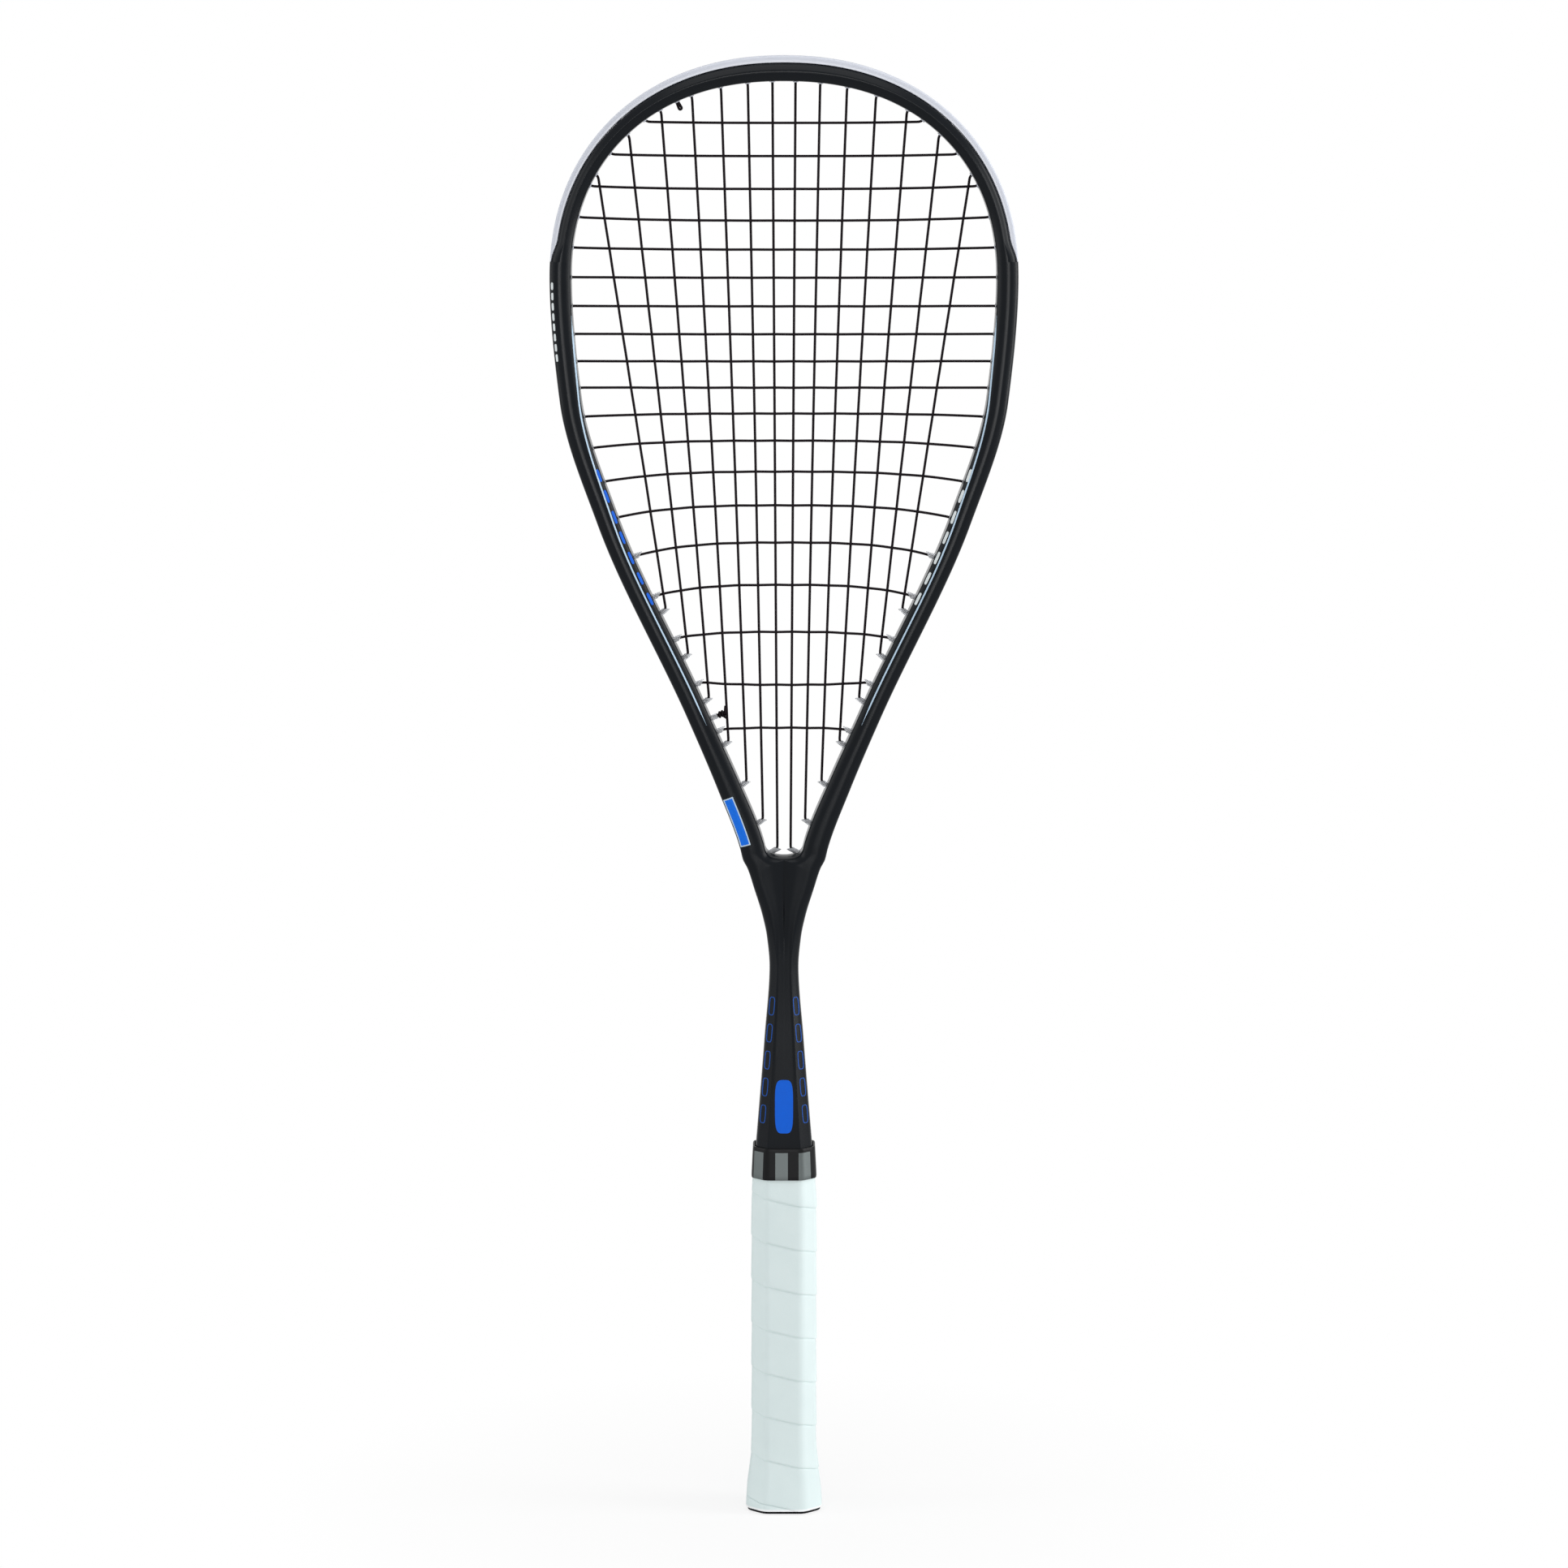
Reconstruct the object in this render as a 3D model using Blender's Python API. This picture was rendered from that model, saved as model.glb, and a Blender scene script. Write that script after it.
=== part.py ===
"""Squash racket, strung with one length of string, as an assembly of separate pieces.

The hoop, throat and shaft are one hollow carbon moulding. A clear bumper guard, two clear grommet
strips and single clear grommets line its string holes. The shaft's tang carries a foam handle, a
stapled butt cap, a wound grip and a band of finishing tape.

Metres, +Z up the handle, string bed in the XZ plane, front face towards -Y, origin at the middle of
the butt end. An inset is measured inwards from the outer edge seen from the front. An arc is the
distance along that edge from the middle of the head's top, positive to the right.
"""
import bmesh
import bpy
import numpy as np
from mathutils.kdtree import KDTree

# Overall sizes
LENGTH = 0.685
HEAD_WIDTH = 0.2156

HANDLE_TOP = 0.170

# Outer edge of the hoop: drops below the top of the head, and half widths there
WIDEST_DROP = 0.102
HEAD_ROUNDNESS = 2.16
HEAD_POINTS = ((0.158, 0.1035), (0.215, 0.0863), (0.305, 0.0451))
ARM_POINTS = ((0.339, 0.0308), (0.367, 0.0204), (0.375, 0.0164))

# Outer edge of the shaft: shares of the way from the last arm point to the handle, and half widths
THROAT_POINT = (0.17, 0.0095)
NECK_POINT = (0.34, 0.0068)
SHAFT_POINT = (0.59, 0.0092)

# Frame tube
RIM_TOP = 0.0118
RIM_SIDE = 0.0098
RIM_THROAT = 0.0114
BEAM_DEPTH = 0.0190
NECK_DEPTH = 0.0186
WALL = 0.0016
INNER_BEVEL = 0.0030
OUTER_BEVEL = 0.0012
OUTER_DROP = 0.0020
SHAFT_BEVEL = 0.0032
VALLEY_DEPTH = 0.0012
VALLEY_SHARE = 0.4
CROTCH_HALF_WIDTH = 0.0088
CROTCH_ROUND = 0.0037
GROOVE_END_ROOM = 0.0015
CROTCH_BLEND = 0.025
HOOP_STATIONS = 31
CROTCH_STATIONS = 4
SHAFT_STATIONS = 11
TANG_WIDTH = 0.0180
TANG_DEPTH = 0.0160
TANG_CORNER = 0.0030
SHAFT_OUTSET = 0.0002

# Clearance between pieces that touch
GAP = 0.0003

# String channel round the outside of the hoop
GROOVE_DEPTH = 0.0032
STRIP_THICKNESS = 0.0010
BUMPER_WIDTH = 0.0140
BUMPER_FULL_ARC = 0.110
BUMPER_END_THICKNESS = 0.0006
LAST_BUMPER_CROSS = 5
CHANNEL_WALL = 0.0006
CHANNEL_CLEARANCE = 0.0004

# String bed
STRING_DIAMETER = 0.0012
STRING_CLEARANCE = 0.0003
MAINS_PER_SIDE = 7
MAIN_PITCH = 0.00925
MAIN_PITCH_GROWTH = 0.00043
FAN = 1.3
FAN_GROWTH = 105.0
CROSSES = 19
FIRST_CROSS_DROP = 0.0302
TIGHT_CROSS_GAP = 0.0122
TIGHT_GAP_NUMBER = 9
GAP_GROWTH_UP = 0.00033
GAP_GROWTH_DOWN = 0.0011
KNOT_ROOM = 0.0005
KNOT_SLOPE = 0.0007
KNOT_LENGTH = 0.0012
KNOT_SWELL = 2.2
TAIL_LENGTH = 0.0028
LANE_CHANGE = 0.0030

# Grommets, which are six sided
BORE_CLEARANCE = 0.00044
BARREL_WALL = 0.00046
HOLE_CLEARANCE = 0.00035
BARREL_SIDES = 6
BARREL_LEAN = 0.35
TOP_STAND_OUT = 0.0004
LOW_STAND_OUT = 0.0020
KINK_ROOM = 0.0008
FLANGE_LENGTH = 0.0054
LAST_STRIP_CROSS = 14
TIE_MAIN = 3

# Handle, under the grip
HANDLE_WIDTH = 0.0272
HANDLE_DEPTH = 0.0236
HANDLE_CORNER = 0.0056
FLARE = 0.0015
FLARE_HEIGHT = 0.030
CAP_HEIGHT = 0.028
CAP_FLOOR = 0.0030
CAP_WALL = 0.0015
CAP_LIP_HEIGHT = 0.0010
CAP_LIP = 0.0012
CAP_EDGE = 0.0004
CAP_STATIONS = 6

# Staples that hold the butt cap
STAPLE_WIRE = 0.0008
STAPLE_CROWN = 0.0080
STAPLE_LEG = 0.0030
STAPLE_HEIGHT = 0.016

# Grip and finishing tape
GRIP_THICKNESS = 0.0017
GRIP_END_THICKNESS = 0.0005
GRIP_THIN_LENGTH = 0.0165
GRIP_DROP = 0.0035
GRIP_PITCH = 0.0211
GRIP_SEAM = 0.0005
GRIP_START_WIDTH = 0.0030
GRIP_EDGE_SHARE = 0.1
POINTS_PER_TURN = 24
GRIP_START_POINT = 21
TAPE_THICKNESS = 0.0005
TAPE_OVER_GRIP = 0.0050
TAPE_OVER_SHAFT = 0.0065

# Fineness of the worked-out edge, and how far a cutter reaches past what it cuts
EDGE_SAMPLES = 1500
BEYOND = 0.004
MERGE_DISTANCE = 1e-7
SMOOTH_ANGLE = 0.6

# Sizes that follow from those above
SHAFT_END_WIDTH = HANDLE_WIDTH + 2 * SHAFT_OUTSET
SHAFT_END_DEPTH = HANDLE_DEPTH + 2 * SHAFT_OUTSET
STRING_RADIUS = STRING_DIAMETER / 2
STRING_LAYER = STRING_RADIUS + STRING_CLEARANCE
TIE_LANE = STRING_LAYER + STRING_DIAMETER + 2 * STRING_CLEARANCE
GROOVE_WIDTH = 2 * (TIE_LANE + STRING_RADIUS + GAP)
CHANNEL_TOP_WIDTH = 2 * (TIE_LANE + STRING_RADIUS + CHANNEL_CLEARANCE)
BORE_RADIUS = STRING_RADIUS + BORE_CLEARANCE
BARREL_RADIUS = BORE_RADIUS + BARREL_WALL
HOLE_RADIUS = BARREL_RADIUS + HOLE_CLEARANCE
BASE_TOP = GROOVE_DEPTH - GAP - STRIP_THICKNESS
LANE_INSET = BASE_TOP - GAP - STRING_RADIUS
GRIP_TOP = HANDLE_TOP - GRIP_DROP
GRIP_THIN_HEIGHT = GRIP_TOP - GRIP_THIN_LENGTH


def remove_all_objects():
    for item in list(bpy.data.objects):
        bpy.data.objects.remove(item, do_unlink=True)


def finish(name, colour, roughness, metallic=0.0, alpha=1.0):
    """A plain finish: colour, roughness, metal or not, and how clear it is."""
    made = bpy.data.materials.new(name)
    made.use_nodes = True
    shader = made.node_tree.nodes["Principled BSDF"]
    shader.inputs["Base Color"].default_value = (*colour, 1.0)
    shader.inputs["Roughness"].default_value = roughness
    shader.inputs["Metallic"].default_value = metallic
    shader.inputs["Alpha"].default_value = alpha
    return made


def solid(name, points, faces, material=None):
    """A mesh object with doubled points merged and its faces turned outwards."""
    mesh = bpy.data.meshes.new(name)
    mesh.from_pydata([tuple(map(float, point)) for point in points], [], faces)
    work = bmesh.new()
    work.from_mesh(mesh)
    bmesh.ops.remove_doubles(work, verts=work.verts, dist=MERGE_DISTANCE)
    bmesh.ops.recalc_face_normals(work, faces=work.faces)
    work.to_mesh(mesh)
    work.free()
    mesh.shade_smooth()
    mesh.set_sharp_from_angle(angle=SMOOTH_ANGLE)
    if material:
        mesh.materials.append(material)
    made = bpy.data.objects.new(name, mesh)
    bpy.context.collection.objects.link(made)
    return made


def loft(rings, closed=False):
    """Points and faces of a skin over equal rings, capped at both ends or closed on itself."""
    points = np.concatenate(rings)
    size = len(rings[0])
    count = len(rings)
    faces = []
    for row in range(count if closed else count - 1):
        here = row * size
        there = (row + 1) % count * size
        for k in range(size):
            after = (k + 1) % size
            faces.append((here + k, here + after, there + after, there + k))
    if not closed:
        faces.append(tuple(range(size)))
        faces.append(tuple(range((count - 1) * size, count * size)))
    return points, faces


def joined(shapes):
    """Several point and face lists as one."""
    points = []
    faces = []
    for shape_points, shape_faces in shapes:
        shift = len(points)
        points.extend(shape_points)
        faces.extend(tuple(index + shift for index in face) for face in shape_faces)
    return points, faces


def cut(target, name, shape, operation="DIFFERENCE"):
    """Boolean of a target with a hidden shape."""
    tool = solid(name, *shape)
    tool.hide_render = True
    tool.display_type = "WIRE"
    modifier = target.modifiers.new(name, "BOOLEAN")
    modifier.operation = operation
    modifier.object = tool


def box(low, high):
    """Points and faces of a box between two corners."""
    (x0, y0, z0), (x1, y1, z1) = low, high
    bottom = np.array([(x0, y0, z0), (x1, y0, z0), (x1, y1, z0), (x0, y1, z0)])
    top = bottom + (0, 0, z1 - z0)
    return loft([bottom, top])


def ease(value):
    """0 to 1 with a soft start and a soft end."""
    value = np.clip(value, 0.0, 1.0)
    return value * value * (3.0 - 2.0 * value)


def through(places, values, where):
    """A smooth curve through points that never overshoots them (monotone cubic)."""
    places = np.asarray(places, float)
    values = np.asarray(values, float)
    step = np.diff(places)
    slope = np.diff(values) / step
    tilt = np.zeros(len(places))
    same = slope[:-1] * slope[1:] > 0
    weight_a = 2 * step[1:] + step[:-1]
    weight_b = step[1:] + 2 * step[:-1]
    safe_a = np.where(same, slope[:-1], 1.0)
    safe_b = np.where(same, slope[1:], 1.0)
    mean = (weight_a + weight_b) / (weight_a / safe_a + weight_b / safe_b)
    tilt[1:-1] = np.where(same, mean, 0.0)
    tilt[-1] = slope[-1]
    part = np.clip(np.searchsorted(places, where, side="right") - 1, 0, len(step) - 1)
    t = (where - places[part]) / step[part]
    start = values[part] * (1 + 2 * t) * (1 - t) ** 2 + step[part] * tilt[part] * t * (1 - t) ** 2
    end = values[part + 1] * t * t * (3 - 2 * t) - step[part] * tilt[part + 1] * t * t * (1 - t)
    return start + end


# The outer edge: a rounded arch over the head, then a smooth taper to the top of the handle
def shaft_drop(share):
    """Drop below the head's top at a share of the way from the arms' end to the handle."""
    arm_end = ARM_POINTS[-1][0]
    return arm_end + (LENGTH - HANDLE_TOP - arm_end) * share


def outer_edge():
    """Arcs, points and outward normals of the right half of the outer edge, in X and Z."""
    turn = np.linspace(0.0, np.pi / 2, EDGE_SAMPLES // 3)
    power = 2.0 / HEAD_ROUNDNESS
    arch_x = HEAD_WIDTH / 2 * np.sin(turn) ** power
    arch_z = LENGTH - WIDEST_DROP + WIDEST_DROP * np.cos(turn) ** power
    shaft = (THROAT_POINT, NECK_POINT, SHAFT_POINT, (1.0, SHAFT_END_WIDTH / 2))
    profile = [(WIDEST_DROP, HEAD_WIDTH / 2), *HEAD_POINTS, *ARM_POINTS]
    profile += [(shaft_drop(share), half_width) for share, half_width in shaft]
    drops, widths = zip(*profile)
    down = np.linspace(WIDEST_DROP, LENGTH - HANDLE_TOP, EDGE_SAMPLES)[1:]
    taper = np.column_stack((through(drops, widths, down), LENGTH - down))
    points = np.vstack((np.column_stack((arch_x, arch_z)), taper))
    arcs = np.concatenate(([0.0], np.cumsum(np.linalg.norm(np.diff(points, axis=0), axis=1))))
    along = np.gradient(points, arcs, axis=0)
    along[0] = (1.0, 0.0)
    along /= np.linalg.norm(along, axis=1)[:, None]
    normals = np.column_stack((-along[:, 1], along[:, 0]))
    return arcs, points, normals


EDGE_ARCS, EDGE_POINTS, EDGE_NORMALS = outer_edge()
WIDEST_ARC = EDGE_ARCS[EDGE_SAMPLES // 3 - 1]


def read_edge(table, arc):
    """A value of the edge at an arc, mirrored for the left side."""
    arc = np.asarray(arc, float)
    x = np.interp(np.abs(arc), EDGE_ARCS, table[:, 0]) * np.where(arc < 0, -1.0, 1.0)
    z = np.interp(np.abs(arc), EDGE_ARCS, table[:, 1])
    return np.stack((x, z), axis=-1)


def edge_normal(arc):
    normal = read_edge(EDGE_NORMALS, arc)
    return normal / np.linalg.norm(normal, axis=-1, keepdims=True)


def edge_point(arc, inset=0.0):
    return read_edge(EDGE_POINTS, arc) - edge_normal(arc) * np.asarray(inset)[..., None]


def arc_at_height(height):
    """The arc of the right side where the edge comes down to a height."""
    return np.interp(-height, -EDGE_POINTS[:, 1], EDGE_ARCS)


ARM_END_ARC = arc_at_height(LENGTH - ARM_POINTS[-1][0])
ARM_START_ARC = arc_at_height(LENGTH - HEAD_POINTS[-1][0])


def rim_width(arc):
    """Width of the hoop seen from the front, bumper included."""
    arc = np.abs(arc)
    top = (RIM_TOP - RIM_SIDE) * ease(1 - arc / WIDEST_ARC) ** 2
    throat = (RIM_THROAT - RIM_SIDE) * ease((arc - ARM_START_ARC) / (ARM_END_ARC - ARM_START_ARC))
    return RIM_SIDE + top + throat


def crotch_arc():
    """The arc where the straight inner edge gives way to the round of the crotch."""
    arcs = np.linspace(ARM_START_ARC, EDGE_ARCS[-1], EDGE_SAMPLES)
    inner = edge_point(arcs, rim_width(arcs))[:, 0]
    return np.interp(-CROTCH_HALF_WIDTH, -inner, arcs)


CROTCH_ARC = crotch_arc()
ALL_ARCS = np.linspace(-EDGE_ARCS[-1], EDGE_ARCS[-1], 2 * EDGE_SAMPLES)
CROTCH_START = edge_point(CROTCH_ARC, rim_width(CROTCH_ARC))
CROTCH_FLOOR = float(CROTCH_START[1]) - CROTCH_ROUND


def inner_edge(arc):
    """The inner edge on the right: along the rim, then round the crotch to its middle.

    The round is a quadratic curve that leaves the rim along its own line and ends level.
    """
    if arc <= CROTCH_ARC:
        return edge_point(arc, rim_width(arc))
    part = (arc - CROTCH_ARC) / (GROOVE_END_ARC - CROTCH_ARC)
    before = edge_point(CROTCH_ARC - GAP, rim_width(CROTCH_ARC - GAP))
    slope = (CROTCH_START - before) / (before[1] - CROTCH_START[1])
    corner = CROTCH_START + slope * CROTCH_ROUND
    middle = np.array((0.0, CROTCH_FLOOR))
    return CROTCH_START * (1 - part) ** 2 + corner * 2 * part * (1 - part) + middle * part ** 2


# String lines and the holes that they pass through
def crossing(inset, start, along):
    """The arc where a line ahead of a start first meets the edge at an inset."""
    offset = edge_point(ALL_ARCS, inset) - start
    side = along[0] * offset[:, 1] - along[1] * offset[:, 0]
    ahead = offset @ along
    meets = np.nonzero((side[:-1] * side[1:] <= 0) & (ahead[:-1] > 0))[0]
    pick = meets[np.argmin(ahead[meets])]
    share = side[pick] / (side[pick] - side[pick + 1])
    return ALL_ARCS[pick] + share * (ALL_ARCS[pick + 1] - ALL_ARCS[pick])


def in_depth(flat, y):
    """A point of the XZ plane at a depth."""
    return np.array((flat[0], y, flat[1]))


class Hole:
    """One string hole: the bend of the string at its mouth, its axis, and where it comes out.

    Distances run outwards along the axis from the mouth, which lies inside the hoop by the
    barrel's stand-out and the room for the bend.
    """

    def __init__(self, mouth, normal, along, y):
        self.y = y
        self.mouth = mouth
        axis = normal + BARREL_LEAN * along
        self.axis = axis / np.linalg.norm(axis)
        self.arc = crossing(LANE_INSET, self.mouth, self.axis)

    def at(self, distance):
        """A point on the axis."""
        return in_depth(self.mouth + self.axis * distance, self.y)

    def reach(self, inset):
        """Distance along the axis to an inset."""
        met = edge_point(crossing(inset, self.mouth, self.axis), inset)
        return float(np.dot(met - self.mouth, self.axis))

    def prism(self, radius, start, end):
        """A six sided bar along the axis."""
        return loft([self.ring(radius, start), self.ring(radius, end)])

    def ring(self, radius, distance):
        turn = np.arange(BARREL_SIDES) * 2 * np.pi / BARREL_SIDES
        across = np.array((self.axis[1], 0.0, -self.axis[0]))
        flat = np.cos(turn)[:, None] * across + np.sin(turn)[:, None] * np.array((0.0, 1.0, 0.0))
        return self.at(distance) + radius * flat

    def inside(self):
        """Where the string bends, just clear of the barrel."""
        return self.at(0.0)

    def outside(self):
        """Where the string turns into the channel."""
        return self.at(self.reach(LANE_INSET))


def mouth_inset(arc, stand_out):
    return rim_width(arc) + stand_out + KINK_ROOM


def main_line(number):
    """Foot at the widest height and upward direction of a main, counted from the left."""
    place = number - MAINS_PER_SIDE - 0.5
    x = place * (MAIN_PITCH + MAIN_PITCH_GROWTH * abs(place))
    along = np.array((x * (FAN + FAN_GROWTH * x * x), 1.0))
    return np.array((x, LENGTH - WIDEST_DROP)), along / np.linalg.norm(along)


def cross_heights():
    """Heights of the crosses, closest together a little above the middle of the bed."""
    gaps = np.arange(1, CROSSES) - TIGHT_GAP_NUMBER
    growth = np.where(gaps < 0, -gaps * GAP_GROWTH_UP, gaps * GAP_GROWTH_DOWN)
    drops = np.concatenate(([0.0], np.cumsum(TIGHT_CROSS_GAP + growth)))
    return LENGTH - FIRST_CROSS_DROP - drops


MAINS = 2 * MAINS_PER_SIDE
CENTRE_MAINS = (MAINS_PER_SIDE, MAINS_PER_SIDE + 1)
LEFT = np.array((-1.0, 0.0))
RIGHT = np.array((1.0, 0.0))


def string_holes():
    """Every hole by name: main tops and bottoms, cross ends and the two tie-offs."""
    holes = {}
    for number in range(1, MAINS + 1):
        foot, up = main_line(number)
        holes["main_top", number] = line_hole(foot, up, STRING_LAYER, TOP_STAND_OUT)
        if number in CENTRE_MAINS:
            holes["main_low", number] = crotch_hole(foot, -up)
        else:
            holes["main_low", number] = line_hole(foot, -up, STRING_LAYER, LOW_STAND_OUT)
    for number, height in enumerate(cross_heights(), 1):
        stand_out = TOP_STAND_OUT if number <= LAST_STRIP_CROSS else LOW_STAND_OUT
        for side, along in (("left", LEFT), ("right", RIGHT)):
            start = np.array((0.0, height))
            holes["cross_" + side, number] = line_hole(start, along, -STRING_LAYER, stand_out)
    top_pair = (holes["main_top", TIE_MAIN], holes["main_top", TIE_MAIN + 1])
    low_pair = (holes["main_low", TIE_MAIN], holes["cross_left", CROSSES])
    holes["tie", "top"] = tie_hole(top_pair, -STRING_LAYER, TOP_STAND_OUT)
    holes["tie", "low"] = tie_hole(low_pair, STRING_LAYER, LOW_STAND_OUT)
    return holes


def line_hole(start, along, y, stand_out):
    """The hole where a string line ahead of a start reaches the hoop."""
    arc = crossing(mouth_inset(ALL_ARCS, stand_out), start, along)
    mouth = edge_point(arc, mouth_inset(arc, stand_out))
    return Hole(mouth, edge_normal(arc), along, y)


def crotch_hole(foot, down):
    """The hole of a centre main, through the round of the crotch to the groove's foot."""
    height = CROTCH_FLOOR + LOW_STAND_OUT + KINK_ROOM
    mouth = foot + down * (height - foot[1]) / down[1]
    side = np.sign(foot[0])
    return Hole(mouth, edge_normal(side * CROTCH_ARC), down, STRING_LAYER)


def tie_hole(pair, y, stand_out):
    """A hole square to the hoop, midway between two others."""
    arc = (pair[0].arc + pair[1].arc) / 2
    normal = edge_normal(arc)
    return Hole(edge_point(arc, mouth_inset(arc, stand_out)), normal, normal, y)


HOLES = string_holes()
LAST_TWO = (HOLES["cross_right", LAST_BUMPER_CROSS], HOLES["cross_right", LAST_BUMPER_CROSS + 1])
BUMPER_END = (LAST_TWO[0].arc + LAST_TWO[1].arc) / 2
GROOVE_END_ARC = HOLES["main_low", CENTRE_MAINS[1]].arc + FLANGE_LENGTH / 2 + GROOVE_END_ROOM
CROTCH_ARCS = np.linspace(CROTCH_ARC, GROOVE_END_ARC, CROTCH_STATIONS + 1)[1:]
STATIONS = np.sort(np.append(np.linspace(0.0, CROTCH_ARC, HOOP_STATIONS), BUMPER_END))


# Frame
def bumper_seat(arc):
    """How far the hoop's outer face is set back for the bumper guard, which thins to its ends."""
    thin = ease((np.abs(arc) - BUMPER_FULL_ARC) / (BUMPER_END - BUMPER_FULL_ARC))
    full = GROOVE_DEPTH - GAP
    seat = full + (BUMPER_END_THICKNESS + GAP - full) * thin
    return np.where(np.abs(arc) > BUMPER_END, 0.0, seat)


def frame_ring(outer, inner, seat, floor, depth, bevels):
    """Twelve points round the tube between an outer and an inner point of the front view."""
    inner_bevel, inner_drop, outer_bevel, outer_drop = bevels
    width = np.linalg.norm(inner - outer)
    inwards = (inner - outer) / width
    half = depth / 2
    groove = GROOVE_WIDTH / 2
    front = ((width, half - inner_drop), (width - inner_bevel, half), (seat + outer_bevel, half))
    side = ((seat, half - outer_drop), (seat, groove), (floor, groove))
    corners = front + side
    turned = [(inset, -y) for inset, y in corners] + list(reversed(corners))
    return np.array([in_depth(outer + inwards * inset, y) for inset, y in turned])


def core_ring(outer, inner, start, end, depth, bevels):
    """Eight points round the hollow inside the tube, from one inset to another."""
    inner_bevel, inner_drop, outer_bevel, outer_drop = bevels
    inner_bevel = min(inner_bevel, end - start - outer_bevel)
    inwards = (inner - outer) / np.linalg.norm(inner - outer)
    half = depth / 2 - WALL
    corners = ((end, half - inner_drop), (end - inner_bevel, half))
    corners += ((start + outer_bevel, half), (start, half - outer_drop))
    turned = [(inset, -y) for inset, y in corners] + list(reversed(corners))
    return np.array([in_depth(outer + inwards * inset, y) for inset, y in turned])


def frame_rings():
    """Rings of the right half from the head's top to the tang's end, and those of its hollow."""
    rings = []
    core = []
    hoop_bevels = (INNER_BEVEL, INNER_BEVEL, OUTER_BEVEL, OUTER_DROP)
    for arc in (*STATIONS, *CROTCH_ARCS):
        outer = edge_point(arc)
        inner = inner_edge(arc)
        width = np.linalg.norm(inner - outer)
        floor = GROOVE_DEPTH * width / np.dot(outer - inner, edge_normal(arc))
        rings.append(frame_ring(outer, inner, bumper_seat(arc), floor, BEAM_DEPTH, hoop_bevels))
        core_bevels = (INNER_BEVEL - WALL / 2, INNER_BEVEL - WALL / 2, 0.0, 0.0)
        core.append(core_ring(outer, inner, floor + WALL, width - WALL, BEAM_DEPTH, core_bevels))
    neck_arc = arc_at_height(LENGTH - shaft_drop(NECK_POINT[0]))
    blend = min(CROTCH_BLEND, (EDGE_ARCS[-1] - GROOVE_END_ARC) / 2)
    for arc in np.linspace(GROOVE_END_ARC, EDGE_ARCS[-1], SHAFT_STATIONS + 1)[1:]:
        outer = edge_point(arc)
        level = ease((arc - GROOVE_END_ARC) / blend)
        inner = np.array((0.0, outer[1] * level + CROTCH_FLOOR * (1 - level)))
        fall = ease((arc - GROOVE_END_ARC) / (neck_arc - GROOVE_END_ARC))
        flare = ease((arc - neck_arc) / (EDGE_ARCS[-1] - neck_arc))
        depth = BEAM_DEPTH + (NECK_DEPTH - BEAM_DEPTH) * fall + (SHAFT_END_DEPTH - NECK_DEPTH) * flare
        valley = INNER_BEVEL + (VALLEY_DEPTH - INNER_BEVEL) * fall
        valley *= 1 - flare
        bevel = OUTER_BEVEL + (SHAFT_BEVEL - OUTER_BEVEL) * fall
        bevel += (HANDLE_CORNER - SHAFT_BEVEL) * flare
        bevels = (outer[0] * VALLEY_SHARE, valley, bevel, bevel)
        rings.append(frame_ring(outer, inner, 0.0, 0.0, depth, bevels))
        if arc < EDGE_ARCS[-1]:
            core_end = np.linalg.norm(inner - outer) - WALL / 2
            core_start = WALL + GROOVE_DEPTH * (1 - fall)
            core_bevels = (WALL, WALL + valley, bevel, bevel)
            core.append(core_ring(outer, inner, core_start, core_end, depth, core_bevels))
    tang_end = CAP_FLOOR + GAP
    tang_bevels = (WALL, 0.0, TANG_CORNER, TANG_CORNER)
    for height in (HANDLE_TOP, tang_end):
        rings.append(frame_ring(*tang_side(height), 0.0, 0.0, TANG_DEPTH, tang_bevels))
    core_end = TANG_WIDTH / 2 - WALL / 2
    core_bevels = (WALL, WALL, TANG_CORNER, TANG_CORNER)
    for height in (HANDLE_TOP + 2 * WALL, tang_end - BEYOND):
        core.append(core_ring(*tang_side(height), WALL, core_end, TANG_DEPTH, core_bevels))
    return rings, core


def tang_side(height):
    """Outer and inner point of the tang's right half at a height."""
    return np.array((TANG_WIDTH / 2, height)), np.array((0.0, height))


def mirrored(ring):
    return ring * np.array((-1.0, 1.0, 1.0))


def half_frame_faces(rows, size):
    """Quads of the right half, left open on the middle plane where the left half joins on."""
    faces = []
    for row in range(rows - 1):
        on_middle = row >= len(STATIONS) + CROTCH_STATIONS - 1
        for k in range(size - 1 if on_middle else size):
            after = (k + 1) % size
            here = row * size
            there = here + size
            faces.append((here + k, here + after, there + after, there + k))
    faces.append(tuple(range((rows - 1) * size, rows * size)))
    return faces


def make_frame(holes, carbon):
    """The hollow hoop, throat and shaft, with a groove outside and a hole for every string end."""
    rings, core = frame_rings()
    faces = half_frame_faces(len(rings), len(rings[0]))
    right = (np.concatenate(rings), faces)
    left = (mirrored(right[0]), [tuple(reversed(face)) for face in faces])
    frame = solid("frame", *joined((right, left)), carbon)
    hollow = [mirrored(ring) for ring in reversed(core)] + core[1:]
    cut(frame, "frame_hollow", loft(hollow))
    bars = [hole.prism(HOLE_RADIUS, 0.0, hole.reach(LANE_INSET)) for hole in holes.values()]
    cut(frame, "frame_string_holes", joined(bars))


# Bumper guard and grommets
def sweep_along_edge(arcs, profile):
    """Rings along the outer edge; the profile gives inset and depth pairs at an arc."""
    return [np.array([in_depth(edge_point(arc, inset), y) for inset, y in profile(arc)]) for arc in arcs]


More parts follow.
